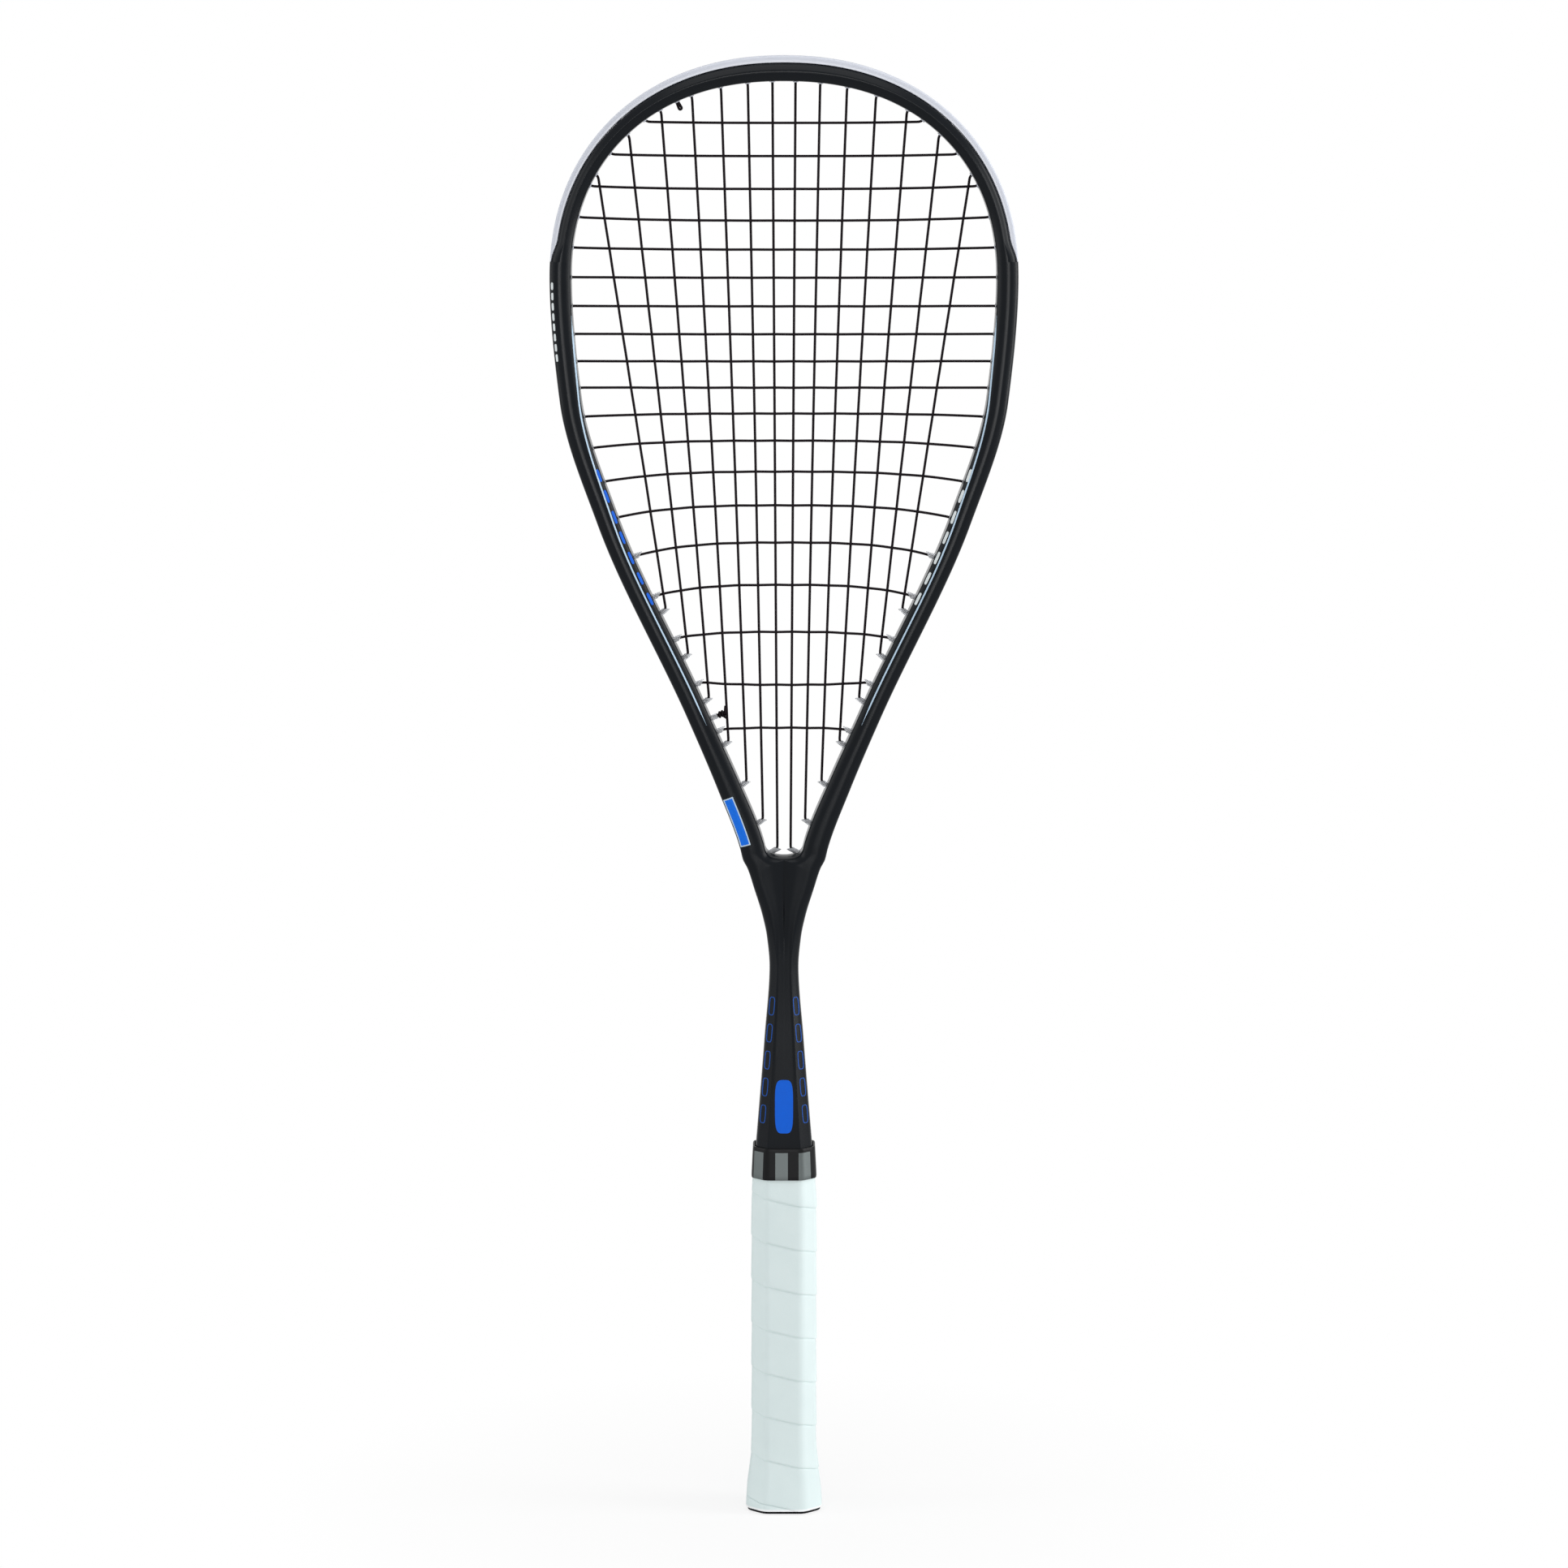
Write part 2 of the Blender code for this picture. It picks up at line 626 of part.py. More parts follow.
def bumper_profile(arc):
    """A channel with two flanges, and a tongue below that runs in the frame's groove."""
    under = bumper_seat(arc) - GAP
    wide = BUMPER_WIDTH / 2
    tongue = GROOVE_WIDTH / 2 - GAP
    narrow_channel = tongue - CHANNEL_WALL
    full = ease((BUMPER_END - abs(arc)) / (BUMPER_END - BUMPER_FULL_ARC))
    channel = narrow_channel + (CHANNEL_TOP_WIDTH / 2 - narrow_channel) * full
    outside = ((under, -wide), (0.0, -wide), (0.0, -channel), (BASE_TOP, -channel))
    outside += ((BASE_TOP, channel), (0.0, channel), (0.0, wide), (under, wide))
    below = GROOVE_DEPTH - GAP
    return outside + ((under, tongue), (below, tongue), (below, -tongue), (under, -tongue))


def strip_profile(arc):
    """A flat strip in the frame's groove, the same at every arc."""
    half = GROOVE_WIDTH / 2 - GAP
    below = GROOVE_DEPTH - GAP
    return ((below, -half), (BASE_TOP, -half), (BASE_TOP, half), (below, half))


def make_strip(name, arcs, profile, holes, clear):
    """A moulded strip with one barrel for each of its holes."""
    strip = solid(name, *loft(sweep_along_edge(arcs, profile)), clear)
    middle = BASE_TOP + STRIP_THICKNESS / 2
    barrels = [hole.prism(BARREL_RADIUS, KINK_ROOM, hole.reach(middle)) for hole in holes]
    bores = [hole.prism(BORE_RADIUS, 0.0, hole.reach(LANE_INSET)) for hole in holes]
    cut(strip, name + "_barrels", joined(barrels), "UNION")
    cut(strip, name + "_bores", joined(bores))


def make_grommet(name, hole, clear):
    """A single grommet: a leaning barrel with a flange that lies on the floor of the groove."""
    normal = in_depth(edge_normal(hole.arc), 0.0)
    axis = in_depth(hole.axis, 0.0)

    def on_floor(ring, inset):
        """The ring carried along the axis until it lies flat at an inset."""
        floor = in_depth(edge_point(hole.arc, inset), 0.0)
        travel = ((floor - ring) @ normal) / (axis @ normal)
        return ring + travel[:, None] * axis

    turn = np.arange(BARREL_SIDES) * 2 * np.pi / BARREL_SIDES
    along = FLANGE_LENGTH / 2 * np.sign(np.round(np.cos(turn), 6))
    across = (GROOVE_WIDTH / 2 - GAP) * np.round(np.sin(turn) / np.sin(np.pi / 3), 6)
    below = GROOVE_DEPTH - GAP
    barrel = hole.ring(BARREL_RADIUS, 0.0)
    bore = hole.ring(BORE_RADIUS, 0.0)
    flange = []
    for inset in (below, BASE_TOP):
        flat = edge_point(crossing(inset, hole.mouth, hole.axis) + along, inset)
        flange.append(np.column_stack((flat[:, 0], across, flat[:, 1])))
    mouth = hole.ring(BARREL_RADIUS, KINK_ROOM)
    rings = [mouth, on_floor(barrel, below), flange[0], flange[1], on_floor(bore, BASE_TOP)]
    rings.append(hole.ring(BORE_RADIUS, KINK_ROOM))
    solid(name, *loft(rings, closed=True), clear)


def make_bumper_and_grommets(holes, clear):
    """Sort the holes by the piece that lines them: bumper guard, side strips or single grommets."""
    arcs = STATIONS[STATIONS <= BUMPER_END]
    bumper_arcs = np.concatenate((-arcs[:0:-1], arcs))
    in_bumper = [hole for hole in holes.values() if abs(hole.arc) < BUMPER_END]
    make_strip("bumper_guard", bumper_arcs, bumper_profile, in_bumper, clear)
    for side, sign in (("left", -1), ("right", 1)):
        last = abs(holes["cross_" + side, LAST_STRIP_CROSS].arc)
        after = abs(holes["cross_" + side, LAST_STRIP_CROSS + 1].arc)
        start = BUMPER_END + 2 * GAP
        end = (last + after) / 2
        inside = STATIONS[(STATIONS > start) & (STATIONS < end)]
        arcs = sign * np.concatenate(([start], inside, [end]))
        lined = [hole for hole in holes.values() if start < sign * hole.arc < end]
        make_strip("grommet_strip_" + side, arcs, strip_profile, lined, clear)
    for (kind, number), hole in holes.items():
        if abs(hole.arc) > abs(holes["cross_left", LAST_STRIP_CROSS].arc) + GAP:
            make_grommet("grommet_{}_{}".format(kind, number), hole, clear)


# String: one length, from a knot at the lower left, through every main, then every cross, to a knot
def run_outside(start, end, lanes):
    """Points in the channel from one hole to the next; lanes are arc and depth pairs on the way."""
    step = 1.0 if end.arc > start.arc else -1.0
    marks = sorted([(start.arc, start.y), (end.arc, end.y), *lanes])
    arcs, depths = zip(*marks)
    stops = np.concatenate((STATIONS, CROTCH_ARCS))
    both_sides = np.concatenate((-stops[:0:-1], stops))
    low, high = arcs[0], arcs[-1]
    room = STRING_DIAMETER
    between = [arc for arc in both_sides if low + room < arc < high - room]
    between += [arc for arc, depth in lanes]
    return [in_depth(edge_point(arc, LANE_INSET), np.interp(arc, arcs, depths))
            for arc in sorted(between, key=lambda arc: step * arc)]


def side_lane(start, end, room):
    """A long run beside the others, from just past one hole to a room before the next."""
    step = 1.0 if end.arc > start.arc else -1.0
    return [(start.arc + step * LANE_CHANGE, TIE_LANE), (end.arc - step * room, TIE_LANE)]


def string_route(holes):
    """Points along the whole string."""
    knot = holes["tie", "low"]
    first = holes["main_low", 1]
    route = [knot.inside(), knot.outside()]
    route += run_outside(knot, first, side_lane(knot, first, LANE_CHANGE))
    route += [first.outside(), first.inside()]
    for number in range(1, MAINS + 1):
        end = "main_top" if number % 2 == 1 else "main_low"
        here = holes[end, number]
        route += [here.inside(), here.outside()]
        if number < MAINS:
            after = holes[end, number + 1]
            route += run_outside(here, after, [])
            route += [after.outside(), after.inside()]
    last = holes["main_low", MAINS]
    start = holes["cross_right", CROSSES]
    route += run_outside(last, start, side_lane(last, start, 3 * LANE_CHANGE))
    for number in range(CROSSES, 0, -1):
        sides = ("cross_right", "cross_left") if number % 2 == 1 else ("cross_left", "cross_right")
        start, end = (holes[side, number] for side in sides)
        route += [start.outside(), start.inside(), end.inside(), end.outside()]
        if number > 1:
            route += run_outside(end, holes[sides[1], number - 1], [])
    knot = holes["tie", "top"]
    route += run_outside(holes["cross_left", 1], knot, [])
    route += [knot.outside(), knot.inside()]
    return route


def knotted(route, holes):
    """The route with a knot and a short tail at each end, and the string's swelling along it."""
    steps = (KNOT_ROOM, KNOT_SLOPE, KNOT_LENGTH, KNOT_SLOPE)
    swell = list(zip(np.cumsum(steps), (1.0, KNOT_SWELL, KNOT_SWELL, 1.0)))
    ends = []
    for hole in (holes["tie", "low"], holes["tie", "top"]):
        knot = [(hole.at(-reach), size) for reach, size in swell]
        beside = np.array((hole.axis[1], 0.0, -hole.axis[0]))
        ends.append(knot + [(knot[-1][0] + TAIL_LENGTH * beside, 1.0)])
    return ends[0][::-1] + [(point, 1.0) for point in route] + ends[1]


def least_gap(points, width, skip):
    """Least gap of a tube to itself, from points close together along it."""
    lengths = np.concatenate(([0.0], np.cumsum(np.linalg.norm(np.diff(points, axis=0), axis=1))))
    marks = np.arange(0.0, lengths[-1], width / 2)
    dense = np.column_stack([np.interp(marks, lengths, points[:, k]) for k in range(3)])
    tree = KDTree(len(dense))
    for index, point in enumerate(dense):
        tree.insert(point, index)
    tree.balance()
    best = 3 * width
    for index, point in enumerate(dense):
        for found, other, distance in tree.find_range(point, best):
            if abs(marks[other] - marks[index]) > skip:
                best = min(best, distance)
    return best - width


def make_string(holes, black):
    """One bevelled curve along the whole route."""
    stations = knotted(string_route(holes), holes)
    curve = bpy.data.curves.new("string", "CURVE")
    curve.dimensions = "3D"
    curve.bevel_depth = STRING_RADIUS
    curve.bevel_resolution = 1
    curve.use_fill_caps = True
    spline = curve.splines.new("POLY")
    spline.points.add(len(stations) - 1)
    for point, (place, size) in zip(spline.points, stations):
        point.co = (*place, 1.0)
        point.radius = size
    curve.materials.append(black)
    bpy.context.collection.objects.link(bpy.data.objects.new("string", curve))
    points = np.array([place for place, size in stations])
    length = np.linalg.norm(np.diff(points, axis=0), axis=1).sum()
    gap = least_gap(points, STRING_DIAMETER, 5 * STRING_DIAMETER)
    print("string: {:.2f} m long, least gap to itself {:.2f} mm".format(length, gap * 1000))


# Handle
def octagon(half_width, half_depth, corner, height, points=8):
    """A ring of an octagon with cut corners, its sides divided evenly."""
    near = half_depth - corner
    far = half_width - corner
    corners = [(half_width, -near), (half_width, near), (far, half_depth), (-far, half_depth)]
    corners += [(-half_width, near), (-half_width, -near), (-far, -half_depth), (far, -half_depth)]
    corners = np.array(corners)
    share = np.arange(points) * 8.0 / points
    start = share.astype(int)
    part = (share - start)[:, None]
    flat = corners[start] * (1 - part) + corners[(start + 1) % 8] * part
    return np.column_stack((flat, np.full(points, height)))


def handle_ring(outset, height, points=8):
    """The handle's octagon, set out by a thickness; the corner cut grows so all sides move alike."""
    corner = HANDLE_CORNER + outset * (2 - np.sqrt(2))
    return octagon(HANDLE_WIDTH / 2 + outset, HANDLE_DEPTH / 2 + outset, corner, height, points)


def flare(height):
    """How far the butt end swells at a height."""
    return FLARE * ease((FLARE_HEIGHT - height) / (FLARE_HEIGHT - CAP_LIP_HEIGHT))


def staple_shape(sign, room):
    """A staple in the butt cap's side, in the XZ plane, or the slot that holds it."""
    face = HANDLE_WIDTH / 2 + flare(STAPLE_HEIGHT + STAPLE_CROWN / 2) - GAP
    wire = STAPLE_WIRE
    half = STAPLE_CROWN / 2 + room
    inner_half = STAPLE_CROWN / 2 - wire - room
    out = face + 4 * room
    crown = face - wire - room
    tip = face - STAPLE_LEG - room
    outline = [(out, half), (out, -half), (tip, -half), (tip, -inner_half), (crown, -inner_half)]
    outline += [(crown, inner_half), (tip, inner_half), (tip, half)]
    rings = []
    for y in (-wire / 2 - room, wire / 2 + room):
        rings.append(np.array([(sign * x, y, STAPLE_HEIGHT + z) for x, z in outline]))
    return loft(rings)


def make_handle(foam, black, steel):
    """The foam handle over the tang, the butt cap over its end, and the cap's two staples."""
    bore = [octagon(TANG_WIDTH / 2 + GAP, TANG_DEPTH / 2 + GAP, TANG_CORNER + GAP, height)
            for height in (HANDLE_TOP - GAP, CAP_FLOOR + GAP)]
    under_cap = -CAP_WALL - GAP
    outer = [handle_ring(under_cap, CAP_FLOOR + GAP), handle_ring(under_cap, CAP_HEIGHT + GAP)]
    outer += [handle_ring(0.0, CAP_HEIGHT + GAP), handle_ring(0.0, HANDLE_TOP - GAP)]
    handle = solid("handle_foam", *loft(outer + bore, closed=True), foam)
    lip = flare(0.0) + CAP_LIP
    rings = [handle_ring(lip - CAP_EDGE, 0.0), handle_ring(lip, CAP_EDGE), handle_ring(lip, CAP_LIP_HEIGHT)]
    for height in np.linspace(CAP_LIP_HEIGHT, CAP_HEIGHT, CAP_STATIONS):
        rings.append(handle_ring(flare(height), height))
    rings += [handle_ring(-CAP_WALL, CAP_HEIGHT), handle_ring(-CAP_WALL, CAP_FLOOR)]
    cap = solid("butt_cap", *loft(rings), black)
    for side, sign in (("left", -1), ("right", 1)):
        solid("butt_staple_" + side, *staple_shape(sign, 0.0), steel)
        slot = staple_shape(sign, GAP)
        cut(cap, "cap_slot_" + side, slot)
        cut(handle, "handle_slot_" + side, slot)


# Grip: one ribbon wound up the handle, its first and last turns cut to a wedge
def grip_thickness(height):
    """The grip thins evenly towards its top end, under the tape."""
    return np.interp(height, (GRIP_THIN_HEIGHT, GRIP_TOP), (GRIP_THICKNESS, GRIP_END_THICKNESS))


def on_handle(turn, height, outset):
    """A point of the handle's surface, by turn and height, set out by a thickness.

    Turns run from the front to the left as they climb.
    """
    index = (GRIP_START_POINT - int(round(turn * POINTS_PER_TURN))) % POINTS_PER_TURN
    return handle_ring(flare(height) + outset, height, POINTS_PER_TURN)[index]


def make_grip(white):
    """The ribbon has a lower and an upper edge at each turn, with a seam between turns."""
    bottom = CAP_LIP_HEIGHT + GAP
    first = GRIP_START_WIDTH / GRIP_PITCH
    last = (GRIP_TOP - bottom - GRIP_START_WIDTH) / GRIP_PITCH + 1
    turns = np.arange(np.ceil(first * POINTS_PER_TURN), np.floor(last * POINTS_PER_TURN)) / POINTS_PER_TURN
    lower = np.maximum(bottom, bottom + (turns - 1) * GRIP_PITCH)
    upper = np.minimum(GRIP_TOP, bottom + turns * GRIP_PITCH - GRIP_SEAM)
    rings = []
    for turn, low, high in zip(turns, lower, upper):
        edge = (high - low) * GRIP_EDGE_SHARE
        middle = np.clip(GRIP_THIN_HEIGHT, low + edge, high - edge)
        inside = [on_handle(turn, height, GAP) for height in (low, middle, high)]
        outside = [on_handle(turn, height, GAP + grip_thickness(height)) for height in (high, middle, low)]
        rings.append(np.array(inside + outside))
    solid("grip_wrap", *loft(rings), white)
    low_edge = np.array([ring[-1] for ring in rings])
    high_edge = np.array([ring[3] for ring in rings])
    turn_before = POINTS_PER_TURN
    gap = np.linalg.norm(low_edge[turn_before:] - high_edge[:-turn_before], axis=1).min()
    print("grip: {:.1f} turns, least gap to itself {:.2f} mm".format(turns[-1] - turns[0], gap * 1000))


def make_tape(black):
    """A thin band over the grip's top end and the foot of the shaft."""
    bottom = GRIP_TOP - TAPE_OVER_GRIP
    past_grip = GRIP_TOP + GAP
    levels = [(bottom, 2 * GAP + grip_thickness(bottom)), (past_grip, 2 * GAP + GRIP_END_THICKNESS)]
    levels += [(past_grip + TAPE_THICKNESS, SHAFT_OUTSET + GAP)]
    levels += [(HANDLE_TOP + TAPE_OVER_SHAFT, SHAFT_OUTSET + GAP)]
    inside = [handle_ring(outset, height) for height, outset in levels]
    outside = [handle_ring(outset + TAPE_THICKNESS, height) for height, outset in reversed(levels)]
    solid("finishing_tape", *loft(inside + outside, closed=True), black)


def make_racket():
    remove_all_objects()
    carbon = finish("black_carbon", (0.012, 0.013, 0.016), 0.35)
    clear = finish("clear_nylon", (0.80, 0.83, 0.86), 0.30, alpha=0.6)
    string_black = finish("black_string", (0.02, 0.018, 0.024), 0.40)
    plastic = finish("black_plastic", (0.02, 0.02, 0.022), 0.45)
    foam = finish("grey_foam", (0.18, 0.18, 0.18), 0.90)
    steel = finish("staple_steel", (0.60, 0.60, 0.62), 0.30, metallic=1.0)
    grip_white = finish("white_grip", (0.70, 0.80, 0.78), 0.70)
    tape_black = finish("black_tape", (0.02, 0.02, 0.022), 0.50)
    make_frame(HOLES, carbon)
    make_bumper_and_grommets(HOLES, clear)
    make_string(HOLES, string_black)
    make_handle(foam, plastic, steel)
    make_grip(grip_white)
    make_tape(tape_black)


make_racket()
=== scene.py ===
"""Looks of a strung squash racket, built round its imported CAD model.

Metres, +Z up the handle, string bed in the XZ plane, front face towards -Y, origin at the middle of
the butt end. An inset is measured inwards from the outer edge seen from the front. An arc is the
distance along that edge from the middle of the head's top, positive to the right.
"""
import bmesh
import bpy
import numpy as np
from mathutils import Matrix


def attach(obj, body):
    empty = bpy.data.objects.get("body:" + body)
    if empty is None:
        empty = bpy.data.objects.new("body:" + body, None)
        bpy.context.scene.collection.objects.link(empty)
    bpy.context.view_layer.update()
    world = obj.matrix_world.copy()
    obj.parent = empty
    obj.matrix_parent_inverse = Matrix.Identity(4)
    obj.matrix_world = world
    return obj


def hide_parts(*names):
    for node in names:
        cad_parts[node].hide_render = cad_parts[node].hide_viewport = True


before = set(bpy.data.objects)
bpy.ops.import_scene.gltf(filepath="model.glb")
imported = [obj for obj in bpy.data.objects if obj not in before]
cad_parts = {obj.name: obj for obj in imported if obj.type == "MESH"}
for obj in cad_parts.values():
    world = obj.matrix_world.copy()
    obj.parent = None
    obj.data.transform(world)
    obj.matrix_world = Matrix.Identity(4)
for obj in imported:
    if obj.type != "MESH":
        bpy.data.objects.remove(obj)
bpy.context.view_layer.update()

# Camera: a long lens about 2.25 m in front, 8 degrees above level, aimed at the racket's middle.
CAMERA_DISTANCE = 2.25
CAMERA_RISE = np.radians(8.0)
AIM_HEIGHT = 0.348
SENSOR_MILLIMETRES = 36.0
LENS_MILLIMETRES = 110.46
camera_data = bpy.data.cameras.new("camera")
camera_data.sensor_width = SENSOR_MILLIMETRES
camera_data.lens = LENS_MILLIMETRES
camera = bpy.data.objects.new("camera", camera_data)
camera_height = AIM_HEIGHT + CAMERA_DISTANCE * np.sin(CAMERA_RISE)
camera.location = (0.0, -CAMERA_DISTANCE * np.cos(CAMERA_RISE), camera_height)
camera.rotation_euler = (np.pi / 2 - CAMERA_RISE, 0.0, 0.0)
bpy.context.collection.objects.link(camera)
bpy.context.scene.camera = camera

# Frame: hoop, throat and shaft are one hollow carbon moulding, with a groove round the outside of the
# hoop for the strings, and a tang inside the handle. It is filled, sanded and sprayed satin black.
LENGTH = 0.685
HEAD_WIDTH = 0.2156
HANDLE_TOP = 0.170
WIDEST_DROP = 0.102
HEAD_ROUNDNESS = 2.16
HEAD_POINTS = ((0.158, 0.1035), (0.215, 0.0863), (0.305, 0.0451))
ARM_POINTS = ((0.339, 0.0308), (0.367, 0.0204), (0.3716, 0.0193), (0.3762, 0.0170), (0.3855, 0.0140))
ARM_END_DROP = 0.375
SHAFT_POINTS = ((0.17, 0.0100), (0.24, 0.0080), (0.34, 0.0068), (0.59, 0.0092), (1.0, 0.0138))
NECK_SHARE = 0.34
RIM_TOP = 0.0118
RIM_SIDE = 0.0098
RIM_THROAT = 0.0114
BEAM_DEPTH = 0.0190
NECK_DEPTH = 0.0186
SHAFT_END_DEPTH = 0.0240
INNER_BEVEL = 0.0030
INNER_DROP = 0.0021
OUTER_BEVEL = 0.0027
OUTER_DROP = 0.0017
SHAFT_BEVEL = 0.0032
SHAFT_END_BEVEL = 0.0056
VALLEY_TOP_DEPTH = 0.0021
VALLEY_DEPTH = 0.0001
VALLEY_SHARE = 0.45
CROTCH_HALF_WIDTH = 0.0088
CROTCH_ROUND = 0.0037
CROTCH_BLEND = 0.025
GROOVE_END_ROOM = 0.0015
GROOVE_RUN_OUT = 0.007
CROWN = 0.0003
CROWN_PLACE = 0.32
WALL_ROUND = 0.0014
LEAST_BEVEL_SHARE = 0.3
LEAST_LEAN = 0.5
WALL_CORNER = 0.0009
RIDGE_CORNER = 0.0013
CREST_CORNER = 0.0026
EDGE_CORNER = 0.0014
SHAFT_EXTRA_CORNER = 0.0012
GROOVE_CORNER = 0.0003
CORNER_REACH = 0.45
TANG_HALF_WIDTH = 0.0090
TANG_HALF_DEPTH = 0.0080
TANG_CORNER = 0.0030
TANG_FOOT = 0.0033
TANG_OUTER_SHARE = 0.6
TANG_INNER_SHARE = 1.4
GAP = 0.0003
GROOVE_DEPTH = 0.0032
STRIP_THICKNESS = 0.0010
STRING_RADIUS = 0.0006
STRING_LAYER = STRING_RADIUS + 0.0003
TIE_LANE = STRING_LAYER + 0.0018
GROOVE_HALF = TIE_LANE + STRING_RADIUS + GAP
BASE_TOP = GROOVE_DEPTH - GAP - STRIP_THICKNESS
LANE_INSET = BASE_TOP - GAP - STRING_RADIUS
BUMPER_TAPER = 0.011
BUMPER_TOP_EXTRA = 0.0008
BUMPER_END_THICKNESS = 0.0006
LAST_BUMPER_CROSS = 5
LAST_STRIP_CROSS = 14
SIDE_MAINS = 7
MAIN_PITCH = 0.00925
MAIN_PITCH_GROWTH = 0.00043
FAN = 1.3
FAN_GROWTH = 105.0
CROSSES = 19
FIRST_CROSS_DROP = 0.0302
TIGHT_CROSS_GAP = 0.0122
TIGHT_GAP_NUMBER = 9
GAP_GROWTH_UP = 0.00033
GAP_GROWTH_DOWN = 0.0011
BARREL_LEAN = 0.35
TOP_STAND_OUT = 0.0004
LOW_STAND_OUT = 0.0020
KINK_ROOM = 0.0008
FLANGE_LENGTH = 0.0054
TIE_MAIN = 3
EDGE_SAMPLES = 3000
ROUND_STEPS = 5
SMALL_ROUND_STEPS = 4
MERGE_DISTANCE = 2e-6
LEAST_EDGE = 1e-7
FINE_GRAIN = 14
BACKWARDS = np.array((0.0, 1.0, 0.0))


def ease(value):
    """0 to 1 with a soft start and end: three times the square less twice the cube."""
    value = np.clip(value, 0.0, 1.0)
    return value * value * (3.0 - 2.0 * value)


def through(places, values, where):
    """A curve through points that never overshoots: cubic pieces whose slope at a point is the
    harmonic mean of its neighbours' slopes, or level where those change sign."""
    places = np.asarray(places, float)
    values = np.asarray(values, float)
    step = np.diff(places)
    slope = np.diff(values) / step
    tilt = np.zeros(len(places))
    same = slope[:-1] * slope[1:] > 0
    weight_a = 2 * step[1:] + step[:-1]
    weight_b = step[1:] + 2 * step[:-1]
    safe_a = np.where(same, slope[:-1], 1.0)
    safe_b = np.where(same, slope[1:], 1.0)
    mean = (weight_a + weight_b) / (weight_a / safe_a + weight_b / safe_b)
    tilt[1:-1] = np.where(same, mean, 0.0)
    tilt[-1] = slope[-1]
    part = np.clip(np.searchsorted(places, where, side="right") - 1, 0, len(step) - 1)
    t = (where - places[part]) / step[part]
    start = values[part] * (1 + 2 * t) * (1 - t) ** 2 + step[part] * tilt[part] * t * (1 - t) ** 2
    end = values[part + 1] * t * t * (3 - 2 * t) - step[part] * tilt[part + 1] * t * t * (1 - t)
    return start + end


def unit(ways):
    """Directions scaled to a length of one."""
    return ways / np.linalg.norm(ways, axis=-1, keepdims=True)


def lengths_along(points):
    """How far along a line of points each of them is."""
    steps = np.linalg.norm(np.diff(points, axis=0), axis=1)
    return np.concatenate(([0.0], np.cumsum(steps)))


def read_line(marks, lengths, points):
    """Points of a line at marks along its length."""
    return np.column_stack([np.interp(marks, lengths, part) for part in points.T])


def outer_edge():
    """Arcs, points and normals of the right half: a superellipse over the head, then a curve through
    measured half widths down to the handle."""
    turn = np.linspace(0.0, np.pi / 2, EDGE_SAMPLES // 3)
    power = 2.0 / HEAD_ROUNDNESS
    arch_x = HEAD_WIDTH / 2 * np.sin(turn) ** power
    arch_z = LENGTH - WIDEST_DROP + WIDEST_DROP * np.cos(turn) ** power
    drops, widths = zip((WIDEST_DROP, HEAD_WIDTH / 2), *HEAD_POINTS, *ARM_POINTS)
    shares, shaft_widths = zip(*SHAFT_POINTS)
    drops = np.append(drops, shaft_drop(np.array(shares)))
    widths = np.append(widths, shaft_widths)
    down = np.linspace(WIDEST_DROP, LENGTH - HANDLE_TOP, EDGE_SAMPLES)[1:]
    taper = np.column_stack((through(drops, widths, down), LENGTH - down))
    points = np.vstack((np.column_stack((arch_x, arch_z)), taper))
    arcs = lengths_along(points)
    along = np.gradient(points, arcs, axis=0)
    along[0] = (1.0, 0.0)
    along = unit(along)
    return arcs, points, np.column_stack((-along[:, 1], along[:, 0]))


def shaft_drop(share):
    """Drop below the head's top at a share of the way from the arms' end to the handle."""
    return ARM_END_DROP + (LENGTH - HANDLE_TOP - ARM_END_DROP) * share


edge_arcs, edge_points, edge_normals = outer_edge()
edge_end = edge_arcs[-1]


def read_edge(table, arc):
    """A value of the edge at an arc, mirrored for the left side."""
    arc = np.asarray(arc, float)
    x = np.interp(np.abs(arc), edge_arcs, table[:, 0]) * np.where(arc < 0, -1.0, 1.0)
    return np.stack((x, np.interp(np.abs(arc), edge_arcs, table[:, 1])), axis=-1)


def edge_normal(arc):
    """Outward direction of the edge at an arc."""
    return unit(read_edge(edge_normals, arc))


def edge_point(arc, inset=0.0):
    """A point of the edge, moved inwards by an inset."""
    return read_edge(edge_points, arc) - edge_normal(arc) * np.asarray(inset)[..., None]


def arc_at_height(height):
    """The arc of the right side where the edge comes down to a height."""
    return np.interp(-np.asarray(height), -edge_points[:, 1], edge_arcs)


widest_arc = edge_arcs[EDGE_SAMPLES // 3 - 1]
arm_end_arc = arc_at_height(LENGTH - ARM_END_DROP)
arm_start_arc = arc_at_height(LENGTH - HEAD_POINTS[-1][0])
neck_arc = arc_at_height(LENGTH - shaft_drop(NECK_SHARE))


def rim_width(arc):
    """Width of the hoop seen from the front: a little more at the head's top and at the throat."""
    arc = np.abs(arc)
    top = (RIM_TOP - RIM_SIDE) * ease(1 - arc / widest_arc) ** 2
    throat = (RIM_THROAT - RIM_SIDE) * ease((arc - arm_start_arc) / (arm_end_arc - arm_start_arc))
    return RIM_SIDE + top + throat


arm_arcs = np.linspace(arm_start_arc, edge_end, EDGE_SAMPLES)
crotch_arc = np.interp(-CROTCH_HALF_WIDTH, -edge_point(arm_arcs, rim_width(arm_arcs))[:, 0], arm_arcs)
crotch_start = edge_point(crotch_arc, rim_width(crotch_arc))
crotch_floor = crotch_start[1] - CROTCH_ROUND
all_arcs = np.linspace(-edge_end, edge_end, 2 * EDGE_SAMPLES)


